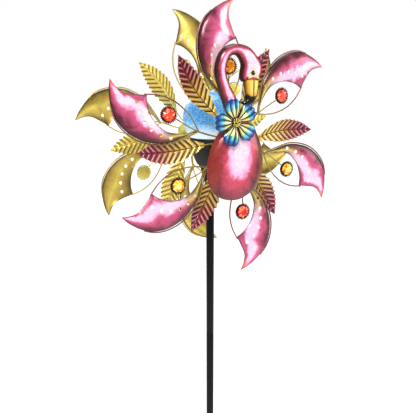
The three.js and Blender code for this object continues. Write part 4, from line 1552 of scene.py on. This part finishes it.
class SPINNER_OT_neck(bpy.types.Operator):
    """Press and paint the neck, head, eye and bill"""

    bl_idname = "spinner.neck"
    bl_label = "Flamingo Neck and Head"

    def execute(self, context):
        shape = pillow(NECK_OUTLINE, 9.5, 11.5, slots=(0, 5), base=0.4)
        bill = pillow(BILL_OUTLINE, 7.0, 8.0, slots=(1, 5), base=0.4)
        hook = pillow(HOOK_OUTLINE, 6.5, 6.0, slots=(2, 5), base=0.5)
        patch = pillow(EYE_PATCH, 2.4, 4.5, base=9.6, slots=(3, 3), spacing=1.2)
        wide = np.array(EYE_PATCH) * 1.1 - np.array((20, 112)) * 0.1
        # a pale wire along the hook is its painted highlight
        gleam = wires([raised(HOOK_GLEAM, 7.2)], 0.8, Palette.get("black"), slot=4)
        shape.join(gleam).join(bill).join(hook).join(patch)
        shape.join(pillow(wide, 1.6, 3.5, base=9.2, slots=(5, 5)))
        shape.join(dome(EYE_CENTRE, 4.6, 0.8, 13.2, 3))
        shape.join(dome(EYE_CENTRE, 3.9, 2.2, 13.6, 2))
        # a small white dot up and right on the eye is its painted highlight
        shape.join(dome((EYE_CENTRE[0] + 0.9, EYE_CENTRE[1] + 1.2), 0.9, 0.8, 15.2, 4))
        looks = Palette.several("neck", "bill", "black", "cream", "diode", "gold")
        make_piece("painted_neck", shape.moved(on_figure), looks, "head", ["flamingo_neck"])
        return {"FINISHED"}


class SPINNER_OT_flower(bpy.types.Operator):
    """Press and enamel the five-petalled flower with its stamens"""

    bl_idname = "spinner.flower"
    bl_label = "Flower"

    def execute(self, context):
        petal = petal_shape()
        whorl = grown("whorl", Palette.get("petal"), petal.points, (), petal.faces, petal.marks, Count=PETALS)
        core = lathe(soften([
            (0, -14), (3, -14), (3, -1), (7, 0.5), (7.6, 3.4), (4, 3), (0, 2.4)], 0.8), 32, 2)
        ball = lathe([(0, 1)] + [
            (6.4 * math.cos(a), 3.2 + 3.4 * math.sin(a)) for a in np.linspace(-0.6, math.pi / 2, 8)], 24)
        beads = grown("beads", Palette.get("gold"), ball.points, (), ball.faces,
                      Bead=1.2 * MM, Spacing=2.9 * MM, Seed=7)
        beads.slots = [1] * len(beads.faces)
        ball.slots = [2] * len(ball.faces)
        shape = whorl.join(core).join(ball).join(beads)
        turn = math.radians(FLOWER_TURN)

        def change(points):
            x, y, z = points.T
            return np.column_stack([
                FLOWER_CENTRE[0] + x * math.cos(turn) - y * math.sin(turn), FLOWER_CENTRE[1] - z,
                FLOWER_CENTRE[2] + x * math.sin(turn) + y * math.cos(turn)])
        make_piece("enamel_flower", shape.moved(change), Palette.several("petal", "gold", "bezel"), "head",
                   ["flower"], crease=60)
        return {"FINISHED"}


class SPINNER_OT_stage(bpy.types.Operator):
    """Lay the pale floor and set the lights, the surroundings and the camera"""

    bl_idname = "spinner.stage"
    bl_label = "Stage"

    def execute(self, context):
        self.floor()
        self.lights()
        self.surroundings(context.scene)
        self.camera(context.scene)
        context.scene.view_settings.view_transform = "Standard"
        context.scene.view_settings.gamma = 0.9
        return {"FINISHED"}

    def floor(self):
        level = CAD_BOX[0].z - 0.0005
        mesh = bpy.data.meshes.new("floor")
        corners = ((-1, -1), (1, -1), (1, 1), (-1, 1))
        mesh.from_pydata([(x * FLOOR_REACH, y * FLOOR_REACH, level) for x, y in corners], [], [(0, 1, 2, 3)])
        look = Finish("pale_floor", Roughness=0.9, Specular_IOR_Level=0.0)
        look.shader.inputs["Emission Color"].default_value = (1, 1, 1, 1)
        seen = look.node("ShaderNodeLightPath").outputs["Is Camera Ray"]
        look.tree.links.new(look.math("MULTIPLY", seen, 0.5), look.shader.inputs["Emission Strength"])
        look.colour(look.ramp(look.noise(3), [(0.3, (0.9, 0.9, 0.9)), (0.7, (0.93, 0.93, 0.93))]))
        mesh.materials.append(look.material)
        floor = bpy.data.objects.new("floor", mesh)
        bpy.context.scene.collection.objects.link(floor)

    def lights(self):
        centre = Vector((0, 0, HUB_HEIGHT * MM))
        for name, place, size, power in LIGHTS:
            lamp = bpy.data.lights.new(name, "AREA")
            lamp.energy = power
            lamp.size = size
            holder = bpy.data.objects.new(name, lamp)
            holder.location = centre + Vector(place)
            holder.rotation_euler = (-Vector(place)).to_track_quat("-Z", "Y").to_euler()
            bpy.context.scene.collection.objects.link(holder)

    def surroundings(self, scene):
        """White to the eye; in reflections a room that is bright above and dim at the sides."""
        world = bpy.data.worlds.new("studio")
        world.use_nodes = True
        nodes, links = world.node_tree.nodes, world.node_tree.links
        path = nodes.new("ShaderNodeLightPath")
        place = nodes.new("ShaderNodeTexCoord")
        split = nodes.new("ShaderNodeSeparateXYZ")
        band = nodes.new("ShaderNodeValToRGB")
        spread = nodes.new("ShaderNodeMapRange")
        links.new(place.outputs["Generated"], split.inputs[0])
        links.new(split.outputs[2], spread.inputs["Value"])
        spread.inputs["From Min"].default_value = -1
        links.new(spread.outputs[0], band.inputs[0])
        for element, (at, grey) in zip(band.color_ramp.elements, ((0.25, 0.12), (0.8, 0.75))):
            element.position = at
            element.color = (grey, grey, grey, 1)
        mix = nodes.new("ShaderNodeMix")
        mix.data_type = "RGBA"
        links.new(path.outputs["Is Camera Ray"], mix.inputs[0])
        links.new(band.outputs[0], mix.inputs[6])
        mix.inputs[7].default_value = (1, 1, 1, 1)
        links.new(mix.outputs[2], nodes["Background"].inputs["Color"])
        nodes["Background"].inputs["Strength"].default_value = 1.0
        scene.world = world

    def camera(self, scene):
        azimuth, elevation = math.radians(CAMERA_AZIMUTH), math.radians(CAMERA_ELEVATION)
        target = Vector((*CAMERA_TARGET[:2], HUB_HEIGHT * MM + CAMERA_TARGET[2]))
        level = math.cos(elevation)
        back = Vector((math.sin(azimuth) * level, -math.cos(azimuth) * level, math.sin(elevation)))
        lens = bpy.data.cameras.new("camera")
        lens.lens = CAMERA_LENS
        lens.sensor_width = 36
        lens.clip_end = 100
        camera = bpy.data.objects.new("camera", lens)
        camera.location = target + back * CAMERA_DISTANCE
        camera.rotation_euler = (-back).to_track_quat("-Z", "Y").to_euler()
        scene.collection.objects.link(camera)
        scene.camera = camera


OPERATORS = (
    SPINNER_OT_stage, SPINNER_OT_stake, SPINNER_OT_bracket, SPINNER_OT_axles, SPINNER_OT_hubs,
    SPINNER_OT_lamp, SPINNER_OT_blades, SPINNER_OT_leaves, SPINNER_OT_jewels, SPINNER_OT_body,
    SPINNER_OT_neck, SPINNER_OT_flower,
)


class SPINNER_PT_panel(bpy.types.Panel):
    """Builds the spinner's pieces one by one, with their sizes and colours"""

    bl_idname = "SPINNER_PT_panel"
    bl_label = "Wind Spinner"
    bl_space_type = "VIEW_3D"
    bl_region_type = "UI"
    bl_category = "Spinner"

    def draw(self, context):
        for operator in OPERATORS:
            self.layout.operator(operator.bl_idname)
        for name, group in SETTINGS.items():
            box = self.layout.box()
            box.label(text=group.__doc__)
            for setting in group.__annotations__:
                box.prop(getattr(context.scene, name), setting)


CLASSES = (*SETTINGS.values(), *OPERATORS, SPINNER_PT_panel)


def register():
    for cls in CLASSES:
        bpy.utils.register_class(cls)
    for name, group in SETTINGS.items():
        setattr(bpy.types.Scene, name, PointerProperty(type=group))


def unregister():
    for name in SETTINGS:
        delattr(bpy.types.Scene, name)
    for cls in reversed(CLASSES):
        bpy.utils.unregister_class(cls)


def main():
    register()
    for operator in OPERATORS:
        group, call = operator.bl_idname.split(".")
        getattr(getattr(bpy.ops, group), call)()


if __name__ == "__main__":
    main()
